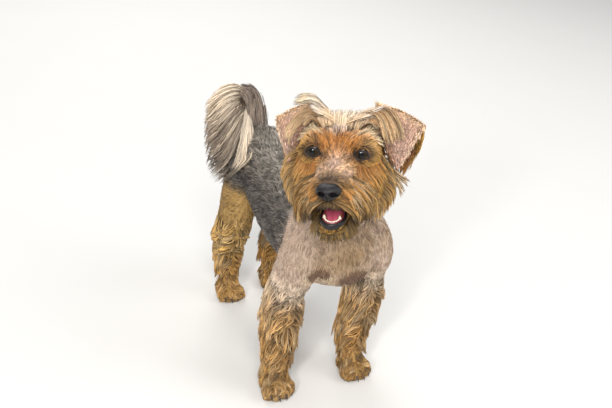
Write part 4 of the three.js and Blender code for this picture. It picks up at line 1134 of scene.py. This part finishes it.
def makeBody():
    rng = np.random.default_rng(23)
    wrap = wrapRound((0, -110, 160), (0, 1, 0), (0, 0, -1), 240)
    for name, hair in bodyHair.items():
        short = hair["look"] == "clipped"
        roots, normals = rootsOn(hair["regions"], hair["count"], rng, bodyDensity[name])
        path, out, owner = combed(roots, normals, clippedComb if short else trunkComb, looks[hair["look"]], rng)
        sampled = np.repeat(path[:, :1], path.shape[1], axis=1) if short else path  # one colour for a short hair
        tints = strandTints(sampled, owner, rng, *hair["shade"], hair["vary"], hair["tuftVary"])
        wide = rng.uniform(*hair["width"], hair["count"])
        strandMesh("coat_" + name, path, out, wide, tints, wrap, slotName=hair["slot"])


makeBody()

# Hair of the legs: length and lift at shares of the way down the limb, for top, middle and foot; shade is the
# root's and the tip's, the dark root partly painted shade in the gaps between the locks
legHair = {
    "fore": {"top": (0.26, 0.4), "foot": (0.66, 0.86), "length": (9, 25, 11), "lift": (1.2, 6.5, 1.6),
             "count": 4100, "shade": (0.28, 1.05), "vary": 0.32},
    "hind": {"top": (0.2, 0.34), "foot": (0.56, 0.82), "length": (8, 23, 11), "lift": (1.0, 6.5, 2.0),
             "count": 3450, "shade": (0.28, 1.16), "vary": 0.4},
}
legLook = {"parting": 1.2, "rearLength": 0.3, "rearLift": 0.5, "cream": 0.46, "creamTip": 1.6, "wide": 1.4,
           "slimmer": 0.6}


def limbComb(loft, length, lift):  # down the limb and away from a parting on its front
    def comb(p, n):
        u, _ = loft.nearest(p)
        centre, along, across, _, _ = loft.section(u)
        q = p - centre
        side = dot(q, across)
        facing = np.clip(-unit(q)[:, 1:2], 0, 1)
        way = along + across * np.sign(side) * legLook["parting"] * facing * ramp(np.abs(side), 0, 3)
        rear = np.clip(unit(q)[:, 1], 0, 1)
        longer, higher = 1 + legLook["rearLength"] * rear, 1 + legLook["rearLift"] * rear
        return unit(way - dot(way, n) * n), length(u) * longer, lift(u) * higher
    return comb


def legDensity(p):
    return (1 - ramp(p[:, 2], 106, 124)) * (2.0 - ramp(p[:, 2], 22, 34))


def makeLegs():
    rng = np.random.default_rng(37)
    for name in ("foreRight", "foreLeft", "hindRight", "hindLeft"):
        loft, hair = body[name], legHair[name[:4]]

        def along(sizes):
            first, full, last = sizes
            return lambda u: (first + (full - first) * ramp(u, *hair["top"])
                              + (last - full) * ramp(u, *hair["foot"]))

        comb = limbComb(loft, along(hair["length"]), along(hair["lift"]))
        roots, normals = rootsOn([name, "paw" + name], hair["count"], rng, legDensity)
        path, out, owner = combed(roots, normals, comb, looks["legs"], rng)
        tints = strandTints(path, owner, rng, *hair["shade"], hair["vary"], hair["vary"])
        cream = rng.random(len(owner))[owner] * legLook["cream"]
        t = np.linspace(0, 1, tints.shape[1])[None, :, None]
        tints = tints + (tint["cream"] - tints) * (cream[:, None, None] ** 2 * t * legLook["creamTip"])
        u, _ = loft.nearest(roots)
        wide = legLook["wide"] - legLook["slimmer"] * ramp(u, 0.75, 0.95)
        wide = wide * rng.uniform(0.7, 1.3, hair["count"])
        wrap = wrapRound((loft.path[-1][0], loft.path[-1][1], 0), (0, 0, 1), (0, 1, 0), 130)
        strandMesh("coat_" + name, path, out, wide, tints, wrap, slotName="tan_coat")


makeLegs()

# Tail: long hair that follows the stem's curl and hangs on the right side
plumeTips = Loft([(-1, 116, 196, 12, 13), (-4, 123, 214, 13, 14), (-12, 128, 229, 15, 14),
                  (-25, 131, 228, 19, 17), (-33, 132, 205, 22, 18), (-37, 131, 177, 21, 17),
                  (-38, 129, 149, 15, 11), (-38, 128, 127, 8, 6)], side=(1, -0.3, 0.2))
plume = {
    "sheets": [
        # the fan that sweeps over from the curl and hangs over the right hip
        {"lines": [[(-14, 124, 234), (-13, 124, 230), (-13, 124, 225), (-12, 124, 221), (-13, 123, 217),
                    (-14, 121, 213), (-15, 119, 211), (-14, 117, 210), (-14, 115, 210)],
                   [(-26, 121, 244), (-28, 121, 238), (-27, 121, 228), (-27, 121, 218), (-25, 119, 207),
                    (-23, 116, 199), (-21, 111, 194), (-19, 105, 196), (-16, 102, 198)],
                   [(-40, 120, 247), (-44, 120, 235), (-43, 120, 221), (-40, 120, 205), (-36, 116, 191),
                    (-32, 111, 180), (-30, 102, 175), (-25, 91, 185), (-21, 86, 190)],
                   [(-51, 122, 240), (-55, 122, 226), (-54, 122, 209), (-52, 122, 191), (-50, 114, 175),
                    (-46, 104, 164), (-44, 92, 162), (-35, 78, 176), (-30, 70, 185)],
                   [(-58, 126, 228), (-62, 126, 215), (-63, 126, 201), (-62, 126, 180), (-64, 116, 164),
                    (-66, 99, 154), (-64, 88, 150), (-55, 74, 160), (-41, 64, 179)]],
         "count": 3050, "clumps": 110, "thick": 6.0, "start": 0.35},
        # the stem's front
        {"lines": [[(-18, 109, 199), (-11, 109, 197), (-4, 109, 197), (2, 109, 200)],
                   [(-19, 111, 218), (-14, 111, 217), (-8, 111, 218), (-2, 111, 219)],
                   [(-24, 114, 232), (-19, 114, 235), (-14, 114, 237), (-8, 114, 236)],
                   [(-30, 118, 236), (-28, 118, 240), (-24, 118, 243), (-18, 118, 243)]],
         "count": 900, "clumps": 70, "thick": 1.2, "stem": 1, "start": 0.78, "stretch": 0.32},
        # pale locks at its lower right
        {"lines": [[(-19, 116, 226), (-15, 116, 220), (-13, 116, 214)],
                   [(-27, 103, 210), (-21, 103, 206), (-16, 103, 203)],
                   [(-37, 86, 197), (-28, 86, 194), (-21, 86, 193)],
                   [(-46, 72, 187), (-36, 72, 183), (-27, 72, 184)],
                   [(-56, 64, 175), (-46, 64, 175), (-39, 64, 180)]],
         "count": 480, "clumps": 20, "thick": 4.0, "pale": 1},
        # the same behind it, on the far side of the curl
        {"lines": [[(-12, 129, 232), (-12, 130, 222), (-12, 130, 212), (-11, 129, 206)],
                   [(-30, 132, 240), (-34, 134, 220), (-28, 134, 196), (-14, 132, 190)],
                   [(-50, 131, 230), (-54, 133, 206), (-42, 133, 162), (-20, 132, 158)],
                   [(-57, 128, 216), (-60, 129, 190), (-52, 129, 140), (-28, 129, 140)]],
         "count": 950, "clumps": 30, "thick": 4.0},
    ],
    "stem": 400, "stemHair": (0.07, 0.15), "stemSpread": (0.6, 0.76), "stemTone": "6d5a4a", "vary": 0.24,
    "tones": ("f3e3cb", "cbb8a1", "9c8c7d", "57493f"), "towards": (-0.41, -0.77, 0.48), "drift": 1.8,
}
plumeLook = dict(sheetLook, thick=6.0, gather=0.7, short=0.45, wave=1.2, waveLength=34, light=0.0,
                 tints=("saddle", "saddle"))


def stemStrands(count, rings, rng):  # shorter hair that lies along the stem
    u, turn = rng.random(count) * 0.75, rng.uniform(0, 2 * math.pi, count)
    start, spread = u * 5 / 7, rng.uniform(*plume["stemSpread"], count)
    stretch = rng.uniform(*plume["stemHair"], count)
    path, out = np.empty((2, count, rings + 1, 3))
    for k in range(rings + 1):
        t = k / rings
        at, out[:, k] = plumeTips.surface(start + stretch * t, turn)
        centre = plumeTips.section(start + stretch * t)[0]
        path[:, k] = centre + (at - centre) * (0.55 + (spread - 0.55) * t ** 0.7)[:, None]
    tone = np.exp(rng.normal(0, 0.3, count))[:, None, None]
    t = np.linspace(0, 1, rings + 1)[None, :, None]
    # darker towards each hair's root: painted shade among the hairs
    return path, out, colour(plume["stemTone"]) * (tone * (0.6 + 0.5 * t))


def plumeTints(sheet, path, s, owner, rng):  # tones run from pale to dark; the low outer tips are darker
    shades = np.stack([colour(code) for code in plume["tones"]])
    t = np.linspace(0, 1, path.shape[1])[None, :, None]
    tone = 0.5 * rng.random(sheet["clumps"])[owner] + 0.5 * rng.random(len(path))
    low = (1 - ramp(path[:, -1, 2], 135, 185)) * ramp(-path[:, -1, 0], 36, 52)
    pick = 0.25 + tone * 2.3 - 0.7 * ramp(s, 0.45, 0.8) * (1 - low) - 0.9 * (1 - ramp(s, 0.05, 0.3)) + low * 0.6
    pick = np.clip(tone * 1.6 - 0.3 if sheet.get("pale") else pick, 0, 2.999)
    if sheet.get("stem"):
        pick = 2.0 + 0.9 * tone
    i = pick.astype(int)
    base = shades[i] + (shades[np.minimum(i + 1, 3)] - shades[i]) * (pick - i)[:, None]
    # darker towards each hair's root: painted shade among the hairs
    fade = 0.42 + 0.75 * t ** 0.8 - 0.5 * (low[:, None, None] * t ** 3)
    if not sheet.get("stem"):
        fade = fade * (0.74 + 0.48 * ramp(path[..., 2:], 160, 234))
    return base[:, None] * fade * np.exp(rng.normal(0, plume["vary"], len(path)))[:, None, None]


def makePlume():
    rng = np.random.default_rng(41)
    rings = plumeLook["rings"]
    made = [stemStrands(plume["stem"], rings, rng)]
    for sheet in plume["sheets"]:
        hair = dict(plumeLook, **sheet)
        path, out, _, s, owner = sheetStrands(hair, sheet["lines"], 1, rng, (-25, 150, 190),
                                              np.array(plume["towards"]))
        made.append((path, out, plumeTints(sheet, path, s, owner, rng)))
    path, out, tints = (np.concatenate([m[k] for m in made]) for k in range(3))
    t = np.linspace(0, 1, rings + 1)[None, :, None]
    path = path + noise3(path.reshape(-1, 3), 20, 4).reshape(path.shape) * plume["drift"] * t
    wrap = wrapRound((-20, 110, 200), (0, 1, 0), (0, 0, 1), 40)
    wide = rng.uniform(0.6, 1.4, len(path))
    strandMesh("coat_plume", path, out, wide, tints, wrap, slotName="plume_coat")


makePlume()


def headPiece(name, points, faces, material, slotName, *nodes):  # points in the head's own frame
    return solidPiece(name, toWorld(points), faces, material, slotName, *nodes)


# Ears: rows of three places from the root on the skull, over the fold, to the hanging tip
earShape = {
    "rows": [[(23, 19, -22), (33, 6, -44), (47, -24, -35)], [(25, 27, -25), (44, 17, -44), (60, -2, -38)],
             [(25, 31, -27), (45, 25, -34), (64, 15, -32)], [(30, 18, -17), (45, 11, -15), (56, 4, -21)],
             [(43, -9, -11), (45.5, -12, -11), (48, -9.5, -13)]],
    "spread": {"left": 1.0, "right": 0.84}, "root": 24, "thickness": 2.0, "columns": 24, "lines": 44,
}


def earSurface(side, i, j):  # points of the middle surface at fractions i across and j along
    s = 1 if side == "left" else -1
    spread = earShape["spread"][side]
    rows = np.array(earShape["rows"], float)
    placedRows = np.stack([s * (earShape["root"] + (rows[..., 0] - earShape["root"]) * spread),
                           rows[..., 1] * (1 + 0.3 * (spread - 1)), rows[..., 2]], -1)
    i, j = np.asarray(i, float), np.asarray(j, float)
    across = np.stack([spline(row, i) for row in placedRows], 1)
    pts = np.empty((len(i), 3))
    for k in range(len(i)):
        pts[k] = spline(across[k], j[k:k + 1])[0]
    return pts


# Colours of the flap: tint, strength and where, by i across, j along and the face, 1 outside and -1 inside
earTints = [
    ("f0d2a8", lambda i, j, face: 0.9 * (1 - ramp(np.abs(j - 0.42), 0.0, 0.22))),
    ("b59482", lambda i, j, face: 0.8 * ramp(j, 0.6, 0.8) * ramp(i, 0.08, 0.3) * (face > 0)),
    ("e2c6a6", lambda i, j, face: 0.5 * ramp(j, 0.5, 0.6) * (1 - ramp(np.minimum(i, 1 - i), 0.02, 0.08))),
    ("a96c32", lambda i, j, face: 0.9 * (1 - ramp(j, 0.36, 0.5)) * ramp(i, 0.3, 0.7)),
    # darker along the inner edge of the flap's lower half: painted shade of the fold
    ("8d6248", lambda i, j, face: 0.7 * ramp(j, 0.55, 0.7) * (1 - ramp(i, 0.1, 0.4))),
    ("8a5c3c", lambda i, j, face: 0.8 * (face < 0) * ramp(j, 0.4, 0.6)),
]


def earMarkings(i, j, face):
    c = np.tile(colour("bb9680"), (len(i), 1))
    for code, weight in earTints:
        c = c + (colour(code) - c) * weight(i, j, face)[:, None]
    return c


def makeEar(side):
    s = 1 if side == "left" else -1
    columns, lines = earShape["columns"], earShape["lines"]
    i, j = np.meshgrid(np.linspace(0, 1, columns + 1), np.linspace(0, 1, lines + 1), indexing="ij")
    middle = earSurface(side, i.ravel(), j.ravel()).reshape(columns + 1, lines + 1, 3)
    n = unit(np.cross(np.gradient(middle, axis=0), np.gradient(middle, axis=1)) * -s)
    edge = np.minimum.reduce([i, 1 - i, 1 - j])
    half = earShape["thickness"] / 2 * (0.35 + 0.65 * ramp(edge, 0, 0.12))[..., None]
    points = np.vstack([(middle + n * half).reshape(-1, 3), (middle - n * half).reshape(-1, 3)])
    size = (columns + 1) * (lines + 1)

    def at(a, b):
        return a * (lines + 1) + b

    faces = []
    for a in range(columns):
        for b in range(lines):
            q = (at(a, b), at(a + 1, b), at(a + 1, b + 1), at(a, b + 1))
            faces += [q, tuple(size + x for x in reversed(q))]
    rim = [at(a, 0) for a in range(columns)] + [at(columns, b) for b in range(lines)]
    rim += [at(a, lines) for a in range(columns, 0, -1)] + [at(0, b) for b in range(lines, 0, -1)]
    for a, b in zip(rim, rim[1:] + rim[:1]):
        faces.append((b, a, size + a, size + b))
    if s > 0:
        faces = [tuple(reversed(f)) for f in faces]
    ear = headPiece("flap_" + side, points, faces, finish["fur"], "face_coat", "ear_" + side)
    paintMesh(ear.data, earMarkings(np.tile(i.ravel(), 2), np.tile(j.ravel(), 2), np.repeat([1, -1], size)) * 0.85)


earCoat = {"count": 2800, "rings": 3, "outside": 0.64, "length": (4, 7), "lift": 0.9, "vary": 0.38,
           "fringe": 0.22, "fringeLength": (4, 8), "fringeLift": 0.5, "fringeOut": 0.3, "width": 0.75,
           "hang": 420, "hangLength": (8, 15), "hangVary": 0.25}


def makeEarCoat(side):
    rng = np.random.default_rng(51 if side == "left" else 53)
    s = 1 if side == "left" else -1
    count, rings, hang = earCoat["count"], earCoat["rings"], earCoat["hang"]
    i, j = rng.random(count), 0.04 + 0.96 * rng.random(count) ** 0.8
    face = np.where(rng.random(count) < earCoat["outside"], 1, -1)
    fringe = (rng.random(count) < earCoat["fringe"]) & (j > 0.5)
    i = np.where(fringe, rng.choice([0.02, 0.98], count), i)
    step = 0.02
    at = earSurface(side, i, j)
    dj = unit(earSurface(side, i, np.minimum(j + step, 1)) - earSurface(side, i, np.maximum(j - step, 0)))
    di = unit(earSurface(side, np.minimum(i + step, 1), j) - earSurface(side, np.maximum(i - step, 0), j))
    out = unit(np.cross(di, dj)) * -s * face[:, None]
    outward = np.where(i < 0.5, -1, 1)[:, None] * di
    way = dj + di * rng.normal(0, 0.2, count)[:, None]
    way = way + outward * np.where(fringe, earCoat["fringeOut"], 0.0)[:, None]
    length = np.where(fringe, rng.uniform(*earCoat["fringeLength"], count), rng.uniform(*earCoat["length"], count))
    length = length * (1 - 0.3 * ramp(j, 0.8, 1.0))
    lift = np.where(fringe, earCoat["fringeLift"], earCoat["lift"])[:, None]
    t = np.linspace(0, 1, rings + 1)[None, :, None]
    root = at + out * (earShape["thickness"] / 2 - 0.4)
    path = root[:, None] + unit(way)[:, None] * t * length[:, None, None]
    path = path + out[:, None] * (t ** 0.8) * lift[:, None]
    tone = np.exp(rng.normal(0, earCoat["vary"], count))[:, None, None]
    # darker towards each hair's root: painted shade among the hairs
    tints = earMarkings(i, j, face)[:, None] * (0.5 + 0.62 * t) * tone
    # hair that hangs from the rear half's outer edge
    edge = earSurface(side, rng.uniform(0.85, 0.99, hang), rng.uniform(0.06, 0.5, hang))
    drop = rng.uniform(*earCoat["hangLength"], hang)[:, None, None]
    curve = np.array([s * 0.25, -1, 0.0]) * t + np.array([-s * 0.45, 0, 0.1]) * t ** 2
    tone = np.exp(rng.normal(0, earCoat["hangVary"], hang))[:, None, None]
    path = np.concatenate([path, edge[:, None] + curve * drop])
    tints = np.concatenate([tints, (tint["olive"] * (1 - t) + tint["gold"] * t) * tone])
    out = np.concatenate([out, np.tile(unit(np.array([s * 0.8, 0, 0.6])), (hang, 1))])
    world = toWorld(path.reshape(-1, 3)).reshape(path.shape)
    places = np.concatenate([np.stack([i, j], 1), np.stack([np.full(hang, 0.9), rng.random(hang) * 0.5], 1)])
    strandMesh("coat_ear_" + side, world, np.repeat((out @ axes)[:, None], rings + 1, axis=1),
               earCoat["width"] * rng.uniform(0.7, 1.3, len(path)), tints, lambda p: places, slotName="face_coat")


for side in ("left", "right"):
    makeEar(side)
    makeEarCoat(side)


def tube(path, halfAcross, halfOut, outward, sides):
    path = np.asarray(path, float)
    along = unit(np.gradient(path, axis=0))
    out = unit(outward - dot(outward, along) * along)
    across = np.cross(along, out)
    turn = np.linspace(0, 2 * math.pi, sides, endpoint=False)[:, None]
    count = len(path)
    rows = [path[k] + across[k] * np.cos(turn) * halfAcross[k] + out[k] * np.sin(turn) * halfOut[k]
            for k in range(count)]
    ends = [tuple(reversed(range(sides))), tuple((count - 1) * sides + i for i in range(sides))]
    return np.vstack(rows), ringFaces(count, sides) + ends


eyeLook = {"iris": 5.2, "pupil": 2.8, "irisColour": "34240f", "irisEdge": "120a06", "white": "6a5a50",
           "edgeWidth": 0.7, "streaks": 23, "streakDepth": 0.35, "rim": 0.62, "rimOut": 0.6, "rimAt": 8.3,
           "rimSize": 1.04, "rimPoints": 73}


def eyeColours(points):
    x, y, z = points.T
    reach, inFront = np.hypot(x, y), z > 0
    streak = 1 + eyeLook["streakDepth"] * np.sin(np.arctan2(y, x) * eyeLook["streaks"]) * ramp(reach, 2.2, 3.5)
    c = np.tile(colour(eyeLook["white"]), (len(points), 1))
    iris = colour(eyeLook["irisColour"])[None] * streak[:, None]
    c = np.where((inFront & (reach < eyeLook["iris"]))[:, None], iris, c)
    c = np.where((inFront & (reach < eyeLook["pupil"]))[:, None], 0.004, c)
    edge = np.exp(-((reach - eyeLook["iris"]) / eyeLook["edgeWidth"]) ** 2) * inFront
    return c + (colour(eyeLook["irisEdge"]) - c) * edge[:, None]


def makeEyes():
    material, surface = shader("eye", 0.05, Specular_IOR_Level=0.28)
    material.node_tree.links.new(colourFrom(material, "coat"), surface.inputs["Base Color"])
    for side, s in (("left", 1), ("right", -1)):
        centre = s * headPose["eyeOut"], 0, 0
        points, faces = ball((0, 0, 0), (eyeShape["radius"] - 0.15,) * 3, 96, 64)
        points = poleForward(points)
        eye = headPiece("eyeball_" + side, points @ eyeFrame(s) + centre, faces, material, "eye", "eye_" + side)
        paintMesh(eye.data, eyeColours(points))
        # the lids' dark rim, round the opening
        wide, high = (f(np.linspace(0, 2 * math.pi, eyeLook["rimPoints"])) for f in (np.cos, np.sin))
        pinch = 1 - eyeShape["pinch"] * wide ** 2
        oval = np.stack([eyeShape["halfWidth"] * eyeLook["rimSize"] * wide,
                         eyeShape["halfHeight"] * eyeLook["rimSize"] * high * pinch + eyeShape["drop"]], 1)
        depth = np.sqrt(np.maximum(eyeLook["rimAt"] ** 2 - np.sum(oval ** 2, axis=1), 0))
        ring = np.column_stack([oval, depth])
        size = eyeLook["rim"] * (0.8 + 0.5 * np.abs(wide) ** 3)
        points, faces = tube(ring, size, np.full(len(ring), eyeLook["rimOut"]), unit(ring), 12)
        headPiece("lid_rim_" + side, points @ eyeFrame(s) + centre, faces, finish["lip"], "nose_leather")


makeEyes()

# Nose pad: nostril, slit beside it and raised rim are placed from its middle, for the left half
noseShape = {
    "centre": (0, -20.5, 38), "radii": (10.0, 7.6, 7.0), "taper": 0.4, "brow": 0.9, "flatBelow": 1.0,
    "nostril": (4.3, -0.6), "nostrilSize": (2.5, 1.7), "nostrilDepth": 4.6,
    "slit": (7.6, -1.3), "slitSize": (2.2, 0.75), "slitSlope": 0.12, "slitDepth": 2.6,
    "rimSize": (3.6, 2.9), "rimWidth": 0.22, "rimHeight": 0.75, "groove": 0.5, "grooveDepth": 1.4,
}


def makeNose():
    n = noseShape
    points, faces = ball((0, 0, 0), (1, 1, 1), 144, 96)
    points = poleForward(points)
    x, y, z = points.T
    front = ramp(z, -0.1, 0.5)
    p = points * n["radii"]
    p[:, 0] *= 1 - n["taper"] * ramp(-y, 0.0, 1.0)
    p[:, 1] = np.where(y > 0, p[:, 1] * (1 - 0.18 * (1 - np.abs(x)) * ramp(y, 0.3, 1)), p[:, 1] * 1.08)
    raised = n["brow"] * np.exp(-((y - 0.25) / 0.4) ** 2) * (1 - x * x)
    p[:, 2] += front * (raised - n["flatBelow"] * ramp(-y, 0.3, 1.0))
    for s in (-1, 1):
        dx, dy = p[:, 0] - s * n["nostril"][0], p[:, 1] - n["nostril"][1]
        hole = np.exp(-((dx / n["nostrilSize"][0]) ** 2 + (dy / n["nostrilSize"][1]) ** 2) ** 2)
        slope = n["slitSlope"] * (p[:, 0] * s - n["slit"][0])
        slitX = (p[:, 0] - s * n["slit"][0]) / n["slitSize"][0]
        slitY = (p[:, 1] - n["slit"][1] - slope) / n["slitSize"][1]
        slit = np.exp(-(slitX ** 2 + slitY ** 2) ** 1.5)
        ring = np.hypot(dx / n["rimSize"][0], (dy + 0.3) / n["rimSize"][1])
        rim = np.exp(-((ring - 1) / n["rimWidth"]) ** 2) * ramp(-dy, 0.2, 1.4)
        p[:, 2] += front * (n["rimHeight"] * rim - n["nostrilDepth"] * hole - n["slitDepth"] * slit)
    groove = np.exp(-(p[:, 0] / n["groove"]) ** 2) * ramp(-p[:, 1], 0.8, 3) * front
    p[:, 2] -= n["grooveDepth"] * groove
    headPiece("nose_pad", p + np.array(n["centre"]), faces, finish["leather"], "nose_leather", "nose")


makeNose()

mouthShape = {
    "tongue": (6.8, 3.2, 17), "tongueAt": (0, -45.0, 8), "tongueTilt": 18, "furrow": 1.1, "furrowWidth": 0.16,
    "rimTurn": 118, "rimPoints": 60,
    "lip": {"wide": 9.2, "y": -52.8, "rise": 3.4, "z": 16, "long": 12.5, "size": (2.9, 1.5), "sides": 16},
    "gum": {"wide": 7.6, "y": -51.2, "rise": 3.0, "z": 16.4, "long": 10.2, "size": (1.8, 1.2), "sides": 12},
    "teeth": {"wide": 7.1, "y": -50.8, "rise": 3, "z": 16.8, "long": 9.4, "turn": 60, "count": 10,
              "canine": (5.0, 1.3), "incisor": (2.7, 1.0), "lift": 0.32, "flat": 0.75, "point": 0.35},
}


def jawRim(part, turn):  # places on the jaw's curved rim, by the angle from its front
    return np.stack([part["wide"] * np.sin(turn), part["y"] + part["rise"] * (1 - np.cos(turn)),
                     part["z"] + part["long"] * np.cos(turn)], -1)


def makeTongue():
    points, faces = ball((0, 0, 0), (1, 1, 1), 64, 48)
    x, y, _ = points.T
    p = points * mouthShape["tongue"]
    p[:, 1] -= mouthShape["furrow"] * np.exp(-(x / mouthShape["furrowWidth"]) ** 2) * ramp(y, 0, 0.6)
    p[:, 1] += 1.0 * x ** 2  # its edges curl up
    tilt = math.radians(mouthShape["tongueTilt"])
    p = np.stack([p[:, 0], p[:, 1] * math.cos(tilt) - p[:, 2] * math.sin(tilt),
                  p[:, 1] * math.sin(tilt) + p[:, 2] * math.cos(tilt)], 1)
    headPiece("tongue_piece", p + mouthShape["tongueAt"], faces, finish["tongue"], "tongue", "tongue")


def makeMouth():  # lower lip, gum and teeth along the jaw's rim
    turn = np.radians(np.linspace(-mouthShape["rimTurn"], mouthShape["rimTurn"], mouthShape["rimPoints"]))
    outward = unit(np.stack([np.sin(turn), -0.2 + 0 * turn, np.cos(turn)], 1))
    for key, name, material, slotName in (("lip", "lip_lower", finish["lip"], "nose_leather"),
                                          ("gum", "gum_lower", finish["gum"], "tongue")):
        part = mouthShape[key]
        across, out = (np.full(len(turn), size) for size in part["size"])
        points, faces = tube(jawRim(part, turn), across, out, outward, part["sides"])
        headPiece(name, points, faces, material, slotName)
    part, made = mouthShape["teeth"], []
    for k, angle in enumerate(np.radians(np.linspace(-part["turn"], part["turn"], part["count"]))):
        canine = k in (0, part["count"] - 1)
        tall, wide = part["canine"] if canine else part["incisor"]
        p, f = ball((0, 0, 0), (wide, tall / 2, wide * part["flat"]), 12, 10)
        p[:, 0] *= 1 - part["point"] * ramp(p[:, 1], 0, tall / 2) if canine else 1
        made.append((p + (jawRim(part, angle) + (0, tall * part["lift"], 0)), f))
    headPiece("teeth", *joined(made), finish["ivory"], "tooth")


makeTongue()
makeMouth()

clawShape = {"rings": 9, "sides": 10, "size": 1.45, "taper": 0.9, "curve": 1.6, "floor": 0.3}


def makeClaws():
    made = []
    t = np.linspace(0, 2, clawShape["rings"])
    size = clawShape["size"] * (1 - (t / 2) ** clawShape["curve"] * clawShape["taper"])
    for place, halfWidth, halfLength, height in paws.values():
        for middle, radii in toes(place, halfWidth, halfLength, height):
            base = np.array(middle) + (0, -radii[2] * 0.8, 0.6)
            path = base + np.stack([0 * t, 1.0 - 2.9 * t, 0.5 * t - 1.15 * t * t], 1)
            made.append(tube(path, size, size, np.tile([0, 0, 1.0], (len(t), 1)), clawShape["sides"]))
    points, faces = joined(made)
    points[:, 2] = np.maximum(points[:, 2], clawShape["floor"])
    solidPiece("claws", points, faces, finish["horn"], "claw")


makeClaws()
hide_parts("torso", "neck", "head", "lower_jaw", "tail",
            "foreleg_left", "foreleg_right", "forepaw_left", "forepaw_right",
            "thigh_left", "thigh_right", "shank_left", "shank_right", "hindpaw_left", "hindpaw_right")

# Floor, lights and camera
studio = {
    "floor": "cfcdc9", "floorSize": 12, "world": (0.94, 0.96, 1.0), "worldStrength": 0.55,
    "lightsAim": (0, 0, 0.15),
    "lights": [  # place in metres, size, power, colour
        ((-0.7, -1.3, 1.7), 1.1, 35, (1.0, 0.98, 0.95)),
        ((1.4, -0.8, 1.2), 1.2, 17, (0.96, 0.98, 1.0)),
        ((0.2, 1.5, 1.5), 1.2, 24, (1.0, 1.0, 1.0)),
        ((-0.87, -0.82, 0.79), 0.14, 7, (1.0, 1.0, 1.0)),
    ],
}


def makeStudio():
    bpy.ops.mesh.primitive_plane_add(size=studio["floorSize"], location=(0, 0, 0))
    floor = bpy.context.object
    floor.name = "floor"
    floor.data.materials.append(mottled("floor", 0.8, studio["floor"], scale=8.0, strength=0.03))
    world = bpy.context.scene.world or bpy.data.worlds.new("studio")
    bpy.context.scene.world = world
    world.use_nodes = True
    sky = world.node_tree.nodes["Background"]
    sky.inputs["Color"].default_value = (*studio["world"], 1)
    sky.inputs["Strength"].default_value = studio["worldStrength"]
    for place, size, power, shade in studio["lights"]:
        light = bpy.data.lights.new("softbox", "AREA")
        light.size, light.energy, light.color = size, power, shade
        lamp = bpy.data.objects.new("softbox", light)
        lamp.location = place
        lamp.rotation_euler = (Vector(studio["lightsAim"]) - Vector(place)).to_track_quat("-Z", "Y").to_euler()
        bpy.context.scene.collection.objects.link(lamp)
    print("studio", len(studio["lights"]), "lights")


makeStudio()

view = {"azimuth": -28.0, "elevation": 29.0, "roll": 6.0, "distance": 868.0, "aim": (33.6, 60, 126), "lens": 47.06,
        "sensor": 36.0, "clip": (0.05, 50)}


def makeCamera():
    azimuth, elevation, roll = (math.radians(view[k]) for k in ("azimuth", "elevation", "roll"))
    back = np.array([math.sin(azimuth) * math.cos(elevation), -math.cos(azimuth) * math.cos(elevation),
                     math.sin(elevation)])
    level = np.array([math.cos(azimuth), math.sin(azimuth), 0.0])
    raised = np.cross(back, level)
    right = level * math.cos(roll) + raised * math.sin(roll)
    up = raised * math.cos(roll) - level * math.sin(roll)
    data = bpy.data.cameras.new("camera")
    data.lens, data.sensor_width = view["lens"], view["sensor"]
    data.clip_start, data.clip_end = view["clip"]
    camera = bpy.data.objects.new("camera", data)
    turn = Matrix((right, up, back)).transposed().to_4x4()
    place = placed(np.array(view["aim"]) + back * view["distance"])
    camera.matrix_world = Matrix.Translation(Vector(place)) @ turn
    bpy.context.scene.collection.objects.link(camera)
    bpy.context.scene.camera = camera
    print("camera", view["azimuth"], view["elevation"])


makeCamera()
bpy.context.scene.view_settings.view_transform = "Standard"
